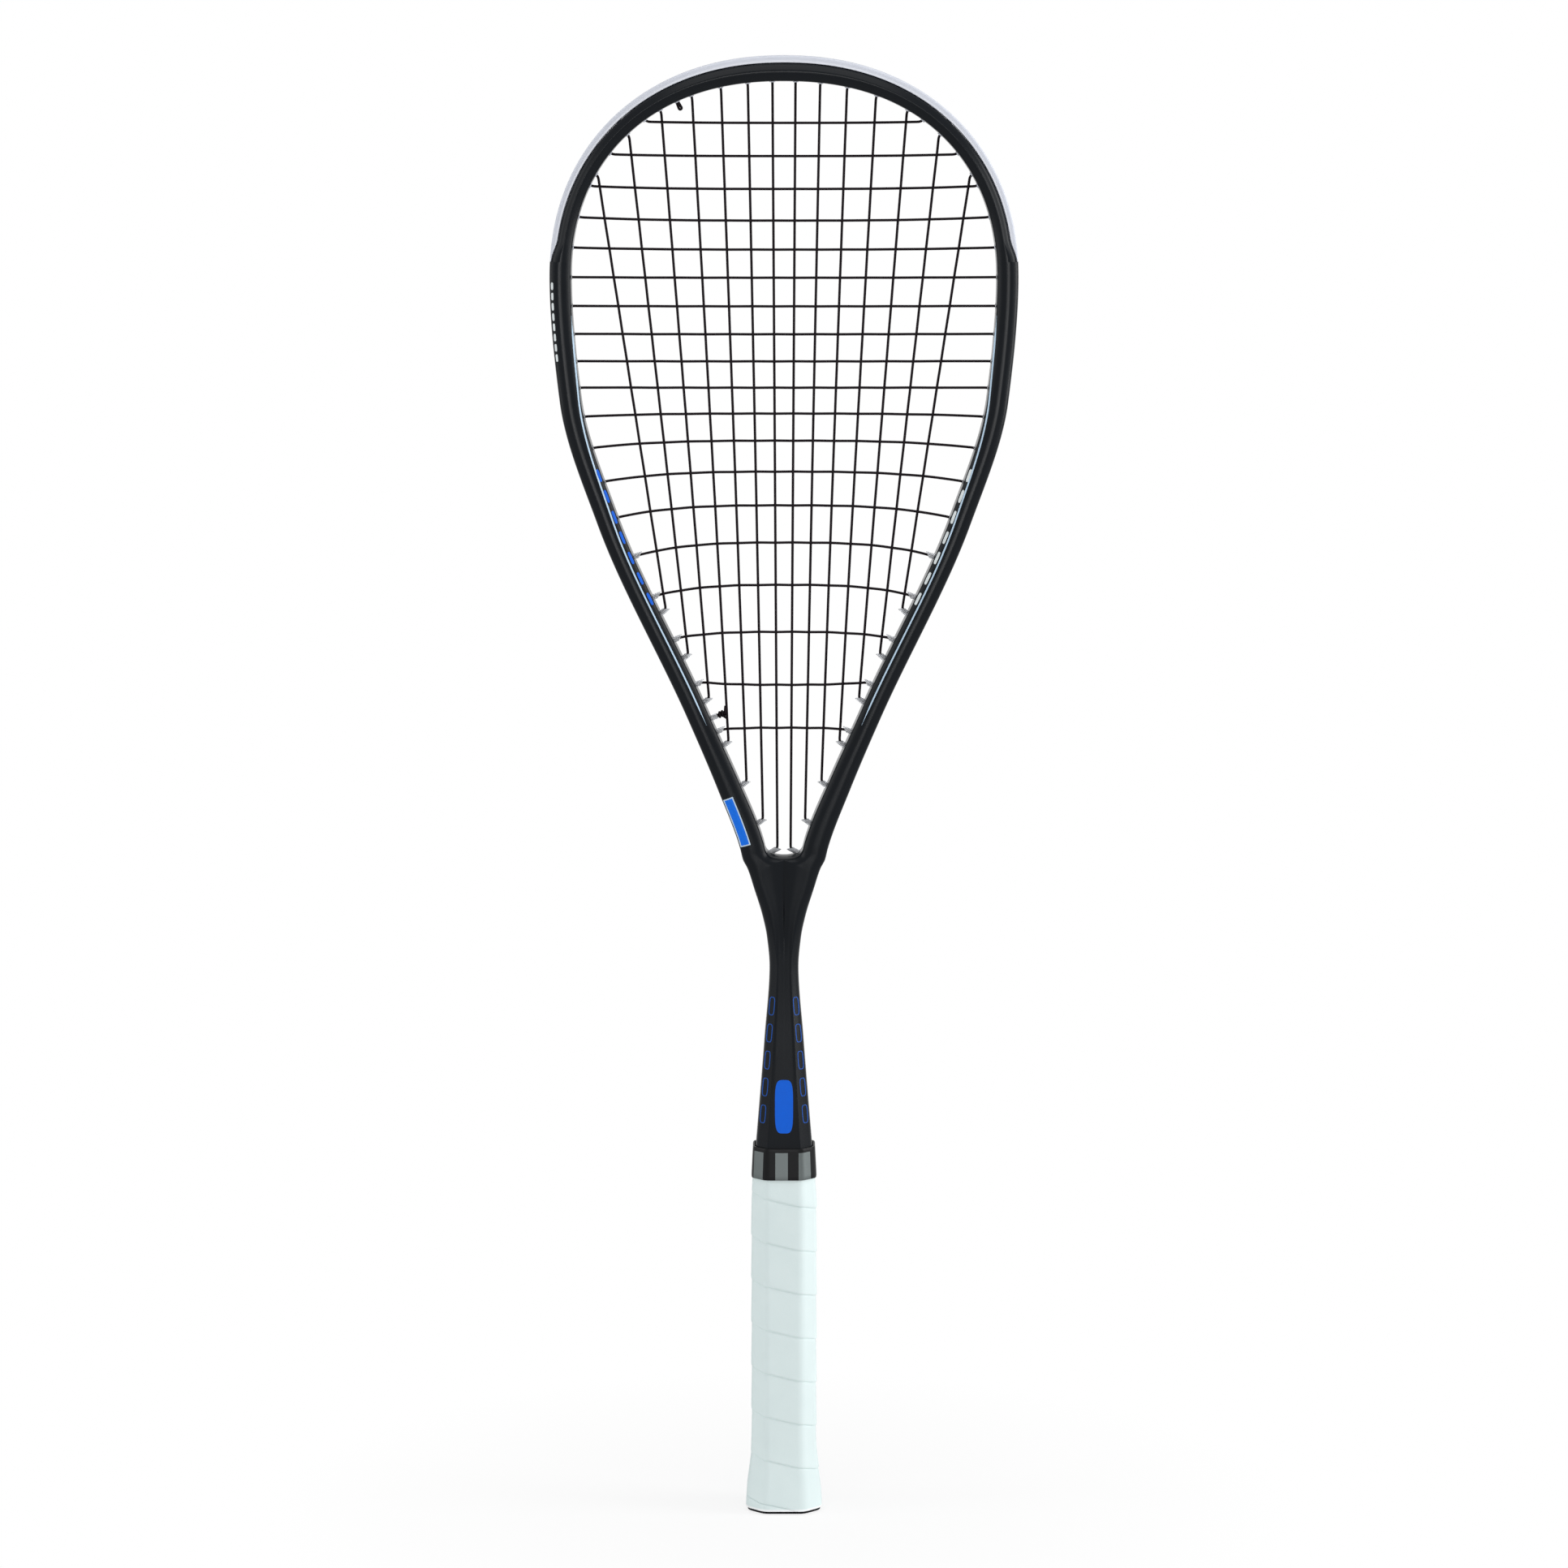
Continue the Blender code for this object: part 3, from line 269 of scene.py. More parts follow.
def crossing(inset, start, along):
    """The arc where a line ahead of a start first meets the edge at an inset: the sign change of the
    cross product of the line and the way to the edge's points."""
    offset = edge_point(all_arcs, inset) - start
    side = along[0] * offset[:, 1] - along[1] * offset[:, 0]
    ahead = offset @ along
    meets = np.nonzero((side[:-1] * side[1:] <= 0) & (ahead[:-1] > 0))[0]
    pick = meets[np.argmin(ahead[meets])]
    share = side[pick] / (side[pick] - side[pick + 1])
    return all_arcs[pick] + share * (all_arcs[pick + 1] - all_arcs[pick])


class StringHole:
    """A hole for a string end: the string's bend at its mouth, its axis, and the arc where it comes
    out. The axis leans from the hoop's normal towards the string. Distances run outwards from the
    mouth."""

    def __init__(self, mouth, normal, along, y):
        self.y = y
        self.mouth = mouth
        self.axis = unit(normal + BARREL_LEAN * along)
        self.across = np.array((self.axis[1], 0.0, -self.axis[0]))
        self.slant = np.sign(self.across[0] * along[0] + self.across[2] * along[1])
        self.arc = crossing(LANE_INSET, mouth, self.axis)

    def at(self, distance):
        """Points on the axis."""
        flat = self.mouth + self.axis * np.asarray(distance)[..., None]
        return np.stack((flat[..., 0], np.full(flat.shape[:-1], self.y), flat[..., 1]), axis=-1)

    def reach(self, inset):
        """Distance along the axis to an inset."""
        met = edge_point(crossing(inset, self.mouth, self.axis), inset)
        return float(np.dot(met - self.mouth, self.axis))


def mouth_inset(arc, stand_out):
    """How far inside the edge a string bends, clear of the barrel that stands out of the hoop."""
    return rim_width(arc) + stand_out + KINK_ROOM


def line_hole(start, along, y, stand_out):
    """The hole where a string line ahead of a start reaches the hoop."""
    arc = crossing(mouth_inset(all_arcs, stand_out), start, along)
    return StringHole(edge_point(arc, mouth_inset(arc, stand_out)), edge_normal(arc), along, y)


def crotch_hole(foot, down):
    """The hole of a centre main, through the round of the crotch to the groove's foot."""
    height = crotch_floor + LOW_STAND_OUT + KINK_ROOM
    mouth = foot + down * (height - foot[1]) / down[1]
    return StringHole(mouth, edge_normal(np.sign(foot[0]) * crotch_arc), down, STRING_LAYER)


def tie_hole(pair, y, stand_out):
    """A hole square to the hoop, midway between two others."""
    arc = (pair[0].arc + pair[1].arc) / 2
    normal = edge_normal(arc)
    return StringHole(edge_point(arc, mouth_inset(arc, stand_out)), normal, normal, y)


def main_line(number):
    """Foot at the widest height and upward direction of a main, counted from the left. The pitch
    grows with the place, and the lean with the place and its cube."""
    place = number - SIDE_MAINS - 0.5
    x = place * (MAIN_PITCH + MAIN_PITCH_GROWTH * abs(place))
    along = np.array((x * (FAN + FAN_GROWTH * x * x), 1.0))
    return np.array((x, LENGTH - WIDEST_DROP)), unit(along)


gap_numbers = np.arange(1, CROSSES) - TIGHT_GAP_NUMBER
gap_growth = np.where(gap_numbers < 0, -gap_numbers * GAP_GROWTH_UP, gap_numbers * GAP_GROWTH_DOWN)
cross_drops = np.concatenate(([0.0], np.cumsum(TIGHT_CROSS_GAP + gap_growth)))
cross_heights = LENGTH - FIRST_CROSS_DROP - cross_drops
MAINS = 2 * SIDE_MAINS

holes = {}
for number in range(1, MAINS + 1):
    foot, up = main_line(number)
    holes["main_top", number] = line_hole(foot, up, STRING_LAYER, TOP_STAND_OUT)
    if number in (SIDE_MAINS, SIDE_MAINS + 1):
        holes["main_low", number] = crotch_hole(foot, -up)
    else:
        holes["main_low", number] = line_hole(foot, -up, STRING_LAYER, LOW_STAND_OUT)
for number, height in enumerate(cross_heights, 1):
    stand_out = TOP_STAND_OUT if number <= LAST_STRIP_CROSS else LOW_STAND_OUT
    for side, way in (("left", -1.0), ("right", 1.0)):
        start = np.array((0.0, height))
        holes["cross_" + side, number] = line_hole(start, np.array((way, 0.0)), -STRING_LAYER, stand_out)
top_pair = (holes["main_top", TIE_MAIN], holes["main_top", TIE_MAIN + 1])
low_pair = (holes["main_low", TIE_MAIN], holes["cross_left", CROSSES])
holes["tie", "top"] = tie_hole(top_pair, -STRING_LAYER, TOP_STAND_OUT)
holes["tie", "low"] = tie_hole(low_pair, STRING_LAYER, LOW_STAND_OUT)
bumper_end = (holes["cross_right", LAST_BUMPER_CROSS].arc
              + holes["cross_right", LAST_BUMPER_CROSS + 1].arc) / 2
groove_end = holes["main_low", SIDE_MAINS + 1].arc + FLANGE_LENGTH / 2 + GROOVE_END_ROOM


def bumper_seat(arc):
    """How far the hoop's outer face is set back for the bumper guard, which thins to its ends."""
    thin = ease((np.abs(arc) - bumper_end + BUMPER_TAPER) / BUMPER_TAPER)
    full = GROOVE_DEPTH - GAP + BUMPER_TOP_EXTRA * ease(1 - np.abs(arc) / bumper_end)
    seat = full + (BUMPER_END_THICKNESS + GAP - full) * thin
    return np.where(np.abs(arc) > bumper_end, 0.0, seat)


def inner_edge(arc):
    """The inner edge on the right: along the rim, then round the crotch on a quadratic curve that
    leaves the rim along its own line and ends level, then down the middle plane."""
    rim = edge_point(arc, rim_width(arc))
    part = np.clip((arc - crotch_arc) / (groove_end - crotch_arc), 0.0, 1.0)[:, None]
    before = edge_point(crotch_arc - GAP, rim_width(crotch_arc - GAP))
    slope = (crotch_start - before) / (before[1] - crotch_start[1])
    corner = crotch_start + slope * CROTCH_ROUND
    middle = np.array((0.0, crotch_floor))
    around = crotch_start * (1 - part) ** 2 + corner * 2 * part * (1 - part) + middle * part ** 2
    level = ease((arc - groove_end) / CROTCH_BLEND)
    down = np.column_stack((0 * arc, edge_point(arc)[:, 1] * level + crotch_floor * (1 - level)))
    turned = np.where((arc > crotch_arc)[:, None], around, rim)
    return np.where((arc > groove_end)[:, None], down, turned)


def rounded(corners, cuts, steps):
    """Closed outlines with every corner turned into a quadratic curve that leaves its two sides at
    the cut, or nearer the corner where a side is short."""

    def towards(other):
        way = other - corners
        length = np.linalg.norm(way, axis=2, keepdims=True)
        reach = np.minimum(cuts[..., None], CORNER_REACH * length)
        return corners + way / np.maximum(length, 1e-9) * reach

    start = towards(np.roll(corners, 1, axis=1))[:, :, None]
    end = towards(np.roll(corners, -1, axis=1))[:, :, None]
    middle = corners[:, :, None]
    t = np.linspace(0.0, 1.0, steps)[:, None]
    curve = start * (1 - t) ** 2 + middle * 2 * t * (1 - t) + end * t ** 2
    return curve.reshape(len(corners), -1, 2)


def frame_outline(corners, cuts):
    """Front corners, given as inset and depth, mirrored to the back and rounded."""
    front = corners * np.array((1.0, -1.0))
    both = np.concatenate((front, corners[:, ::-1]), axis=1)
    return rounded(both, np.concatenate((cuts, cuts[:, ::-1]), axis=1), ROUND_STEPS)


def frame_rows(arc):
    """Rings round the tube of the right half, one for each arc: the outline between the outer and the
    inner edge has an inner bevel, a crowned face, an outer bevel and the string groove."""
    outer = edge_point(arc)
    inner = inner_edge(arc)
    width = np.linalg.norm(inner - outer, axis=1)
    inwards = (inner - outer) / width[:, None]
    lean = np.maximum(-(inwards * edge_normal(arc)).sum(axis=1), LEAST_LEAN)
    groove = GROOVE_DEPTH / lean * (1 - ease((arc - groove_end) / GROOVE_RUN_OUT))
    fall = ease((arc - groove_end) / (neck_arc - groove_end))
    flare = ease((arc - neck_arc) / (edge_end - neck_arc))
    half = BEAM_DEPTH + (NECK_DEPTH - BEAM_DEPTH) * fall + (SHAFT_END_DEPTH - NECK_DEPTH) * flare
    half = half / 2
    run_in = ease((arc - crotch_arc) / (groove_end - crotch_arc))
    valley = INNER_DROP + (VALLEY_TOP_DEPTH - INNER_DROP) * run_in
    valley = (valley + (VALLEY_DEPTH - VALLEY_TOP_DEPTH) * fall) * (1 - flare)
    ridge = (rim_width(arc) - INNER_BEVEL) * (1 - fall) + outer[:, 0] * (1 - VALLEY_SHARE) * fall
    valley_width = np.maximum(width - ridge, LEAST_BEVEL_SHARE * width)
    inner_bevel = np.where(arc > crotch_arc, valley_width, INNER_BEVEL)
    bevel = OUTER_BEVEL + (SHAFT_BEVEL - OUTER_BEVEL) * fall + (SHAFT_END_BEVEL - SHAFT_BEVEL) * flare
    drop = OUTER_DROP + (SHAFT_BEVEL - OUTER_DROP) * fall + (SHAFT_END_BEVEL - SHAFT_BEVEL) * flare
    seat = bumper_seat(arc)
    crown = CROWN * (1 - flare)
    same = np.ones_like(arc)
    crest = seat + bevel + (width - inner_bevel - seat - bevel) * CROWN_PLACE
    corners = ((width, half - valley), (width - inner_bevel, half), (crest, half + crown),
               (seat + bevel, half), (seat, half - drop), (seat, GROOVE_HALF * same),
               (groove, GROOVE_HALF * same))
    corners = np.stack([np.column_stack(pair) for pair in corners], axis=1)
    on_middle = np.where(arc >= groove_end, 0.0, 1.0)
    soft = EDGE_CORNER + SHAFT_EXTRA_CORNER * fall
    cuts = (WALL_CORNER * on_middle, RIDGE_CORNER * same, CREST_CORNER * same, soft, soft,
            GROOVE_CORNER * same, GROOVE_CORNER * same)
    ring = frame_outline(corners, np.column_stack(cuts))
    place = np.arange(1 - ROUND_STEPS, ROUND_STEPS + 1) / ROUND_STEPS
    share = np.maximum(place, 0.0)
    wall = 1 + np.minimum(place, 0.0) * (arc <= groove_end)[:, None]
    ring = soften_valley(ring, width, inner_bevel, half, valley, run_in, wall, share)
    return crown_wall(in_space(outer, inwards, ring), arc, run_in, wall, share)


def soften_valley(ring, width, inner_bevel, half, valley, run_in, wall, share):
    """Round the crotch the inner corner's points spread over the wall, and below it the inner bevel
    turns into a soft valley: its depth falls off from the middle with the square of the way left to
    the bevel's edge."""
    inset = width[:, None] - inner_bevel[:, None] * share
    depth = (half - valley)[:, None] * wall + valley[:, None] * (1 - (1 - share) ** 2)
    amount = run_in[:, None]
    front = ring[:, :2 * ROUND_STEPS]
    back = ring[:, :-2 * ROUND_STEPS - 1:-1]
    front[:] += (np.stack((inset, -depth), axis=-1) - front) * amount[..., None]
    back[:] += (np.stack((inset, depth), axis=-1) - back) * amount[..., None]
    return ring


def crown_wall(rows, arc, run_in, wall, share):
    """The crotch's wall falls away to the front and the back, with the square of the depth, along a
    way that turns from the arm's normal to straight down."""
    part = np.clip((arc - crotch_arc) / (groove_end - crotch_arc), 0.0, 1.0)[:, None]
    way = edge_normal(np.full_like(arc, crotch_arc)) * (1 - part) - np.array((0.0, 1.0)) * part
    way = unit(way)
    amount = WALL_ROUND * run_in * (1 - ease((arc - groove_end) / CROTCH_BLEND))
    shift = (amount[:, None] * wall ** 2 * (1 - ease(share)))[..., None] * way[:, None]
    for columns in (rows[:, :2 * ROUND_STEPS], rows[:, :-2 * ROUND_STEPS - 1:-1]):
        columns[..., ::2] += shift
    return rows


def in_space(outer, inwards, ring):
    """Outlines of inset and depth set on their outer points."""
    flat = outer[:, None] + inwards[:, None] * ring[..., :1]
    return np.stack((flat[..., 0], ring[..., 1], flat[..., 1]), axis=-1)


def tang_rows():
    """Three rings of the tang's right half: its shoulder, its foot and its closed end. Each has as
    many corners as a ring of the tube, so its flat front is cut in three."""
    heights = np.array((HANDLE_TOP, TANG_FOOT, TANG_FOOT))
    outer = np.column_stack((np.full(3, TANG_HALF_WIDTH), heights))
    inwards = np.tile((-1.0, 0.0), (3, 1))
    insets = (TANG_HALF_WIDTH, TANG_HALF_WIDTH * TANG_OUTER_SHARE,
              TANG_CORNER * TANG_INNER_SHARE, TANG_CORNER)
    corners = [(inset, TANG_HALF_DEPTH) for inset in insets]
    corners += [(0.0, TANG_HALF_DEPTH - TANG_CORNER), (0.0, GROOVE_HALF), (0.0, GROOVE_HALF)]
    ring = frame_outline(np.tile(corners, (3, 1, 1)), np.zeros((3, len(corners))))
    ring[2] = (TANG_HALF_WIDTH, 0.0)
    return in_space(outer, inwards, ring)


def grid_faces(rows, columns, closed):
    """Quads of a grid of points, with its last column joined to the first if it is closed."""
    across = np.arange(columns if closed else columns - 1)
    row, column = np.meshgrid(np.arange(rows - 1), across, indexing="ij")
    after = (column + 1) % columns
    corners = (row * columns + column, row * columns + after)
    corners += ((row + 1) * columns + after, (row + 1) * columns + column)
    return np.stack(corners, axis=-1).reshape(-1, 4)


def add_piece(name, points, faces, sharp=0.7, merge=True):
    """A mesh object at the origin, with doubles merged unless that is turned off, faces turned
    outwards and smooth shading that breaks at sharp edges."""
    mesh = bpy.data.meshes.new(name)
    corners = [list(map(int, face)) for face in faces]
    mesh.from_pydata(np.asarray(points).reshape(-1, 3).tolist(), [], corners)
    work = bmesh.new()
    work.from_mesh(mesh)
    if merge:
        bmesh.ops.remove_doubles(work, verts=work.verts, dist=MERGE_DISTANCE)
        bmesh.ops.dissolve_degenerate(work, edges=work.edges, dist=LEAST_EDGE)
    bmesh.ops.recalc_face_normals(work, faces=work.faces)
    work.to_mesh(mesh)
    work.free()
    mesh.shade_smooth()
    mesh.set_sharp_from_angle(angle=sharp)
    made = bpy.data.objects.new(name, mesh)
    bpy.context.collection.objects.link(made)
    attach(made, "root")
    return made


def new_finish(name, colour, roughness, specular=0.5):
    """A material and its shader, with the shader's even values set."""
    made = bpy.data.materials.new(name)
    made.use_nodes = True
    shader = made.node_tree.nodes["Principled BSDF"]
    shader.inputs["Base Color"].default_value = (*colour, 1.0)
    shader.inputs["Roughness"].default_value = roughness
    shader.inputs["Specular IOR Level"].default_value = specular
    return made, shader


def add_node(owner, kind, **values):
    """A node of a material or the world, with its inputs or settings set by name."""
    node = owner.node_tree.nodes.new(kind)
    for name, value in values.items():
        socket = name.replace("_", " ").title()
        if socket in node.inputs:
            node.inputs[socket].default_value = value
        else:
            setattr(node, name, value)
    return node


def join(owner, *pairs):
    """Links of a material or the world, each from an output to an input."""
    for source, target in pairs:
        owner.node_tree.links.new(source, target)


def add_grain(material, shader, place, scale, rough_low, rough_high, bump, depth):
    """Noise that varies the roughness between two values, and finer noise for the bump."""
    broad = add_node(material, "ShaderNodeTexNoise", scale=scale, detail=4.0)
    spread = add_node(material, "ShaderNodeMapRange", to_min=rough_low, to_max=rough_high)
    fine = add_node(material, "ShaderNodeTexNoise", scale=scale * FINE_GRAIN, detail=3.0)
    relief = add_node(material, "ShaderNodeBump", strength=bump, distance=depth)
    join(material, (place, broad.inputs["Vector"]), (place, fine.inputs["Vector"]),
         (broad.outputs["Fac"], spread.inputs["Value"]),
         (spread.outputs["Result"], shader.inputs["Roughness"]),
         (fine.outputs["Fac"], relief.inputs["Height"]),
         (relief.outputs["Normal"], shader.inputs["Normal"]))
    return broad


def object_place(material):
    """The Object coordinates of a material."""
    return add_node(material, "ShaderNodeTexCoord").outputs["Object"]


def blend_colours(material, shader, amount, low, high):
    """The base colour between two colours by an amount from 0 to 1."""
    mix = add_node(material, "ShaderNodeMix", data_type="RGBA")
    mix.inputs[6].default_value = (*low, 1.0)
    mix.inputs[7].default_value = (*high, 1.0)
    join(material, (amount, mix.inputs[0]), (mix.outputs[2], shader.inputs["Base Color"]))


def clouded_finish(name, even, grain, colours, extras=()):
    """A material whose gloss and colour follow one noise, from its even values, its grain and two
    colours. Extras are further values of its shader."""
    made, shader = new_finish(name, *even)
    for socket, value in extras:
        shader.inputs[socket].default_value = value
    cloud = add_grain(made, shader, object_place(made), *grain)
    blend_colours(made, shader, cloud.outputs["Fac"], *colours)
    return made


TOP_RINGS = 70
TAPER_RINGS = 16
SIDE_RINGS = 130
CROTCH_RINGS = 17
SHAFT_RINGS = 91
SHAFT_SPACING = 1.25
SEAT_STEP = 1e-5
hoop_arcs = np.concatenate((np.linspace(0.0, bumper_end - BUMPER_TAPER, TOP_RINGS)[:-1],
                            np.linspace(bumper_end - BUMPER_TAPER, bumper_end - SEAT_STEP, TAPER_RINGS),
                            np.linspace(bumper_end + SEAT_STEP, crotch_arc, SIDE_RINGS),
                            np.linspace(crotch_arc, groove_end, CROTCH_RINGS)[1:]))
shaft_shares = np.linspace(0.0, 1.0, SHAFT_RINGS)[1:] ** SHAFT_SPACING
shaft_arcs = groove_end + (edge_end - groove_end) * shaft_shares
right_rows = np.concatenate((frame_rows(np.append(hoop_arcs, shaft_arcs)), tang_rows()))
ring_size = right_rows.shape[1]
right_faces = grid_faces(len(right_rows), ring_size, True).reshape(-1, ring_size, 4)
middle_closed = right_faces[:len(hoop_arcs) - 1].reshape(-1, 4)
middle_open = right_faces[len(hoop_arcs) - 1:, ROUND_STEPS - 1:-ROUND_STEPS].reshape(-1, 4)
right_faces = np.concatenate((middle_closed, middle_open))
left_rows = right_rows * np.array((-1.0, 1.0, 1.0))
both_faces = np.concatenate((right_faces, right_faces[:, ::-1] + right_rows.size // 3))
racket_frame = add_piece("frame_lacquered", np.concatenate((right_rows, left_rows)), both_faces, sharp=0.75)
lacquer = clouded_finish("satin_black_lacquer", ((0.003, 0.0044, 0.0065), 0.24, 0.12),
                         (60.0, 0.20, 0.28, 0.03, 0.00005),
                         ((0.0026, 0.0039, 0.0060), (0.0042, 0.0060, 0.0086)))
racket_frame.data.materials.append(lacquer)
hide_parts("frame")

# Painted marks: thin printed films on the lacquer. A pale pinstripe runs down the inside of each arm
# with plain dashes beside it, the hoop has short white dashes on its left, and the shaft has one solid
# bar and a row of outlined ones on each side.
PAINT_LIFT = 0.00006
PAINT_SINK = 0.00004
FACE_COLUMNS = slice(0, 23)
TRY_STEP = 0.0002
STRIPE_TOP = 0.566
STRIPE_ON_RIDGE = 0.440
STRIPE_FOOT = 0.374
STRIPE_HALF_WIDTH = 0.00034
STRIPE_TAPER = 0.012
STRIPE_SHIFT = 0.0025
STRIPE_FROM_INSIDE = 0.0003
STRIPE_POINT = 0.1
STRIPE_STEPS = 240
FILM_COLUMNS = 7
BAR_COLUMNS = 48
BAR_RINGS = 5
BEVEL_DASHES = np.linspace(0.490, 0.432, 7)
SIDE_DASHES = np.linspace(0.5800, 0.5470, 8)
SHAFT_BARS = np.linspace(0.2440, 0.1925, 5)
BEVEL_DASH_IN = 0.0011
BEVEL_DASH_SIZE = (0.0062, 0.0012, 0.0006)
SIDE_DASH_INSET = 0.0013
SIDE_DASH_SIZE = (0.0034, 0.0010, 0.0005)
SHAFT_BAR_INSET = 0.0021
SHAFT_BAR_SIZE = (0.0088, 0.0026, 0.00032)
SHAFT_MARK_HEIGHT = 0.1965
SHAFT_MARK_SIZE = (0.0255, 0.0085)
PALE_BLUE = (0.52, 0.68, 0.83)
BRIGHT_BLUE = (0.002, 0.115, 0.68)
DULL_BLUE = (0.012, 0.085, 0.40)
MARK_WHITE = (0.74, 0.79, 0.80)
INK_DARKEST = 0.88


def on_frame(arc, inset):
    """Points of the right half's front at arcs and insets: each lies on the ring of its own arc,
    between the two columns that the inset falls between."""
    rings = frame_rows(arc)[:, FACE_COLUMNS]
    reach = np.linalg.norm(rings[..., ::2] - edge_point(arc)[:, None], axis=2)
    before = np.clip((reach > inset[:, None]).sum(axis=1) - 1, 0, reach.shape[1] - 2)
    row = np.arange(len(arc))
    step = np.maximum(reach[row, before] - reach[row, before + 1], 1e-9)
    share = np.maximum(reach[row, before] - inset, 0.0) / step
    return rings[row, before] + (rings[row, before + 1] - rings[row, before]) * share[:, None]


def film(arc, inset, lift=PAINT_LIFT):
    """Upper and lower side of a film at a grid of arcs and insets: points of the front, moved along
    the normal, which is the cross product of two short steps over the surface."""
    arc, inset = np.broadcast_arrays(arc, inset)
    here = on_frame(arc.ravel(), inset.ravel())
    along = on_frame(arc.ravel() + TRY_STEP, inset.ravel()) - here
    outwards = on_frame(arc.ravel(), inset.ravel() - TRY_STEP) - here
    normal = np.cross(along, outwards)
    normal = unit(normal) * -np.sign(normal[:, 1:2])
    upper = here + normal * lift
    lower = here - normal * PAINT_SINK
    return upper.reshape(*arc.shape, 3), lower.reshape(*arc.shape, 3)


def band(arc, low, high, lift=PAINT_LIFT):
    """Rings across a film that runs along arcs between a low and a high inset, with its end faces."""
    across = np.linspace(0.0, 1.0, FILM_COLUMNS)
    inset = low[:, None] + (high - low)[:, None] * across
    upper, lower = film(arc[:, None], inset, lift)
    rings = np.concatenate((upper, lower[:, ::-1]), axis=1)
    return rings, tube_faces(*rings.shape[:2])


def tube_faces(rows, columns):
    """Quads round a tube of rings, and one face over each end."""
    ends = np.array((np.arange(columns), (rows - 1) * columns + np.arange(columns)))
    return grid_faces(rows, columns, True), ends


def bar(length, width, line):
    """Steps along and across a bar with round corners: squared-off ovals that shrink by up to a line
    width, which is half the bar's width where it is filled."""
    turn = np.linspace(0.0, 2 * np.pi, BAR_COLUMNS, endpoint=False)
    shrink = np.linspace(line, 0.0, BAR_RINGS)[:, None]
    along = (length / 2 - shrink) * np.sign(np.cos(turn)) * np.sqrt(np.abs(np.cos(turn)))
    across = (width / 2 - shrink) * np.sign(np.sin(turn)) * np.sqrt(np.abs(np.sin(turn)))
    return along, across


def bar_film(upper, lower, filled):
    """Closed rings of a bar's film: outwards on its upper side, back on its lower side."""
    rings = np.concatenate((upper, lower[::-1]))
    if not filled:
        rings = np.concatenate((rings, rings[:1]))
    return rings, (grid_faces(*rings.shape[:2], True),)


def bars_at(arcs, inset, length, width, line):
    """A row of bars along the frame, one at each arc, all at one inset or at an inset of their own."""
    along, across = bar(length, width, line)
    insets = np.broadcast_to(inset, np.shape(arcs))
    return [bar_film(*film(arc + along, middle + across), line >= width / 2)
            for arc, middle in zip(arcs, insets)]


def turned(shapes, *signs):
    """Copies of shapes with the signs of their x and y changed."""
    return [(points * np.array((x, y, 1.0)), faces) for x, y in signs for points, faces in shapes]


def gather(shapes):
    """Points and faces of several shapes as one list, with the corners counted on."""
    starts = np.cumsum([0] + [points.size // 3 for points, faces in shapes])
    points = np.concatenate([points.reshape(-1, 3) for points, faces in shapes])
    faces = []
    for start, shape in zip(starts, shapes):
        for group in shape[1]:
            faces += (group + start).tolist()
    return points, faces


def add_print(name, shapes, colour):
    """A printed film in one colour, a little uneven in tone and gloss."""
    piece = add_piece(name, *gather(shapes))
    darker = tuple(INK_DARKEST * part for part in colour)
    ink = clouded_finish(name + "_ink", (colour, 0.4, 0.12), (400.0, 0.34, 0.48, 0.04, 0.00003),
                         (darker, colour))
    piece.data.materials.append(ink)


stripe_arcs = np.linspace(arc_at_height(STRIPE_TOP), arc_at_height(STRIPE_FOOT), STRIPE_STEPS)
stripe_heights = np.interp(stripe_arcs, edge_arcs, edge_points[:, 1])
stripe_shift = ease((STRIPE_TOP - stripe_heights) / (STRIPE_TOP - STRIPE_ON_RIDGE))
stripe_inset = rim_width(stripe_arcs) - STRIPE_FROM_INSIDE - STRIPE_SHIFT * stripe_shift
from_ends = np.minimum(stripe_arcs - stripe_arcs[0], stripe_arcs[-1] - stripe_arcs)
stripe_half = STRIPE_HALF_WIDTH * (STRIPE_POINT + (1 - STRIPE_POINT) * ease(from_ends / STRIPE_TAPER))
stripe = [band(stripe_arcs, stripe_inset - stripe_half, stripe_inset + stripe_half)]
all_sides = ((1.0, 1.0), (-1.0, 1.0), (1.0, -1.0), (-1.0, -1.0))
add_print("pinstripes", turned(stripe, *all_sides), PALE_BLUE)

bevel_arcs = arc_at_height(BEVEL_DASHES)
bevel_dashes = bars_at(bevel_arcs, rim_width(bevel_arcs) - BEVEL_DASH_IN, *BEVEL_DASH_SIZE)
add_print("left_bevel_dashes", turned(bevel_dashes, (-1.0, 1.0), (1.0, -1.0)), BRIGHT_BLUE)
side_dashes = bars_at(arc_at_height(SIDE_DASHES), SIDE_DASH_INSET, *SIDE_DASH_SIZE)
white_dashes = turned(bevel_dashes, (1.0, 1.0), (-1.0, -1.0)) + turned(side_dashes, (-1.0, 1.0))
add_print("white_dashes", white_dashes, MARK_WHITE)

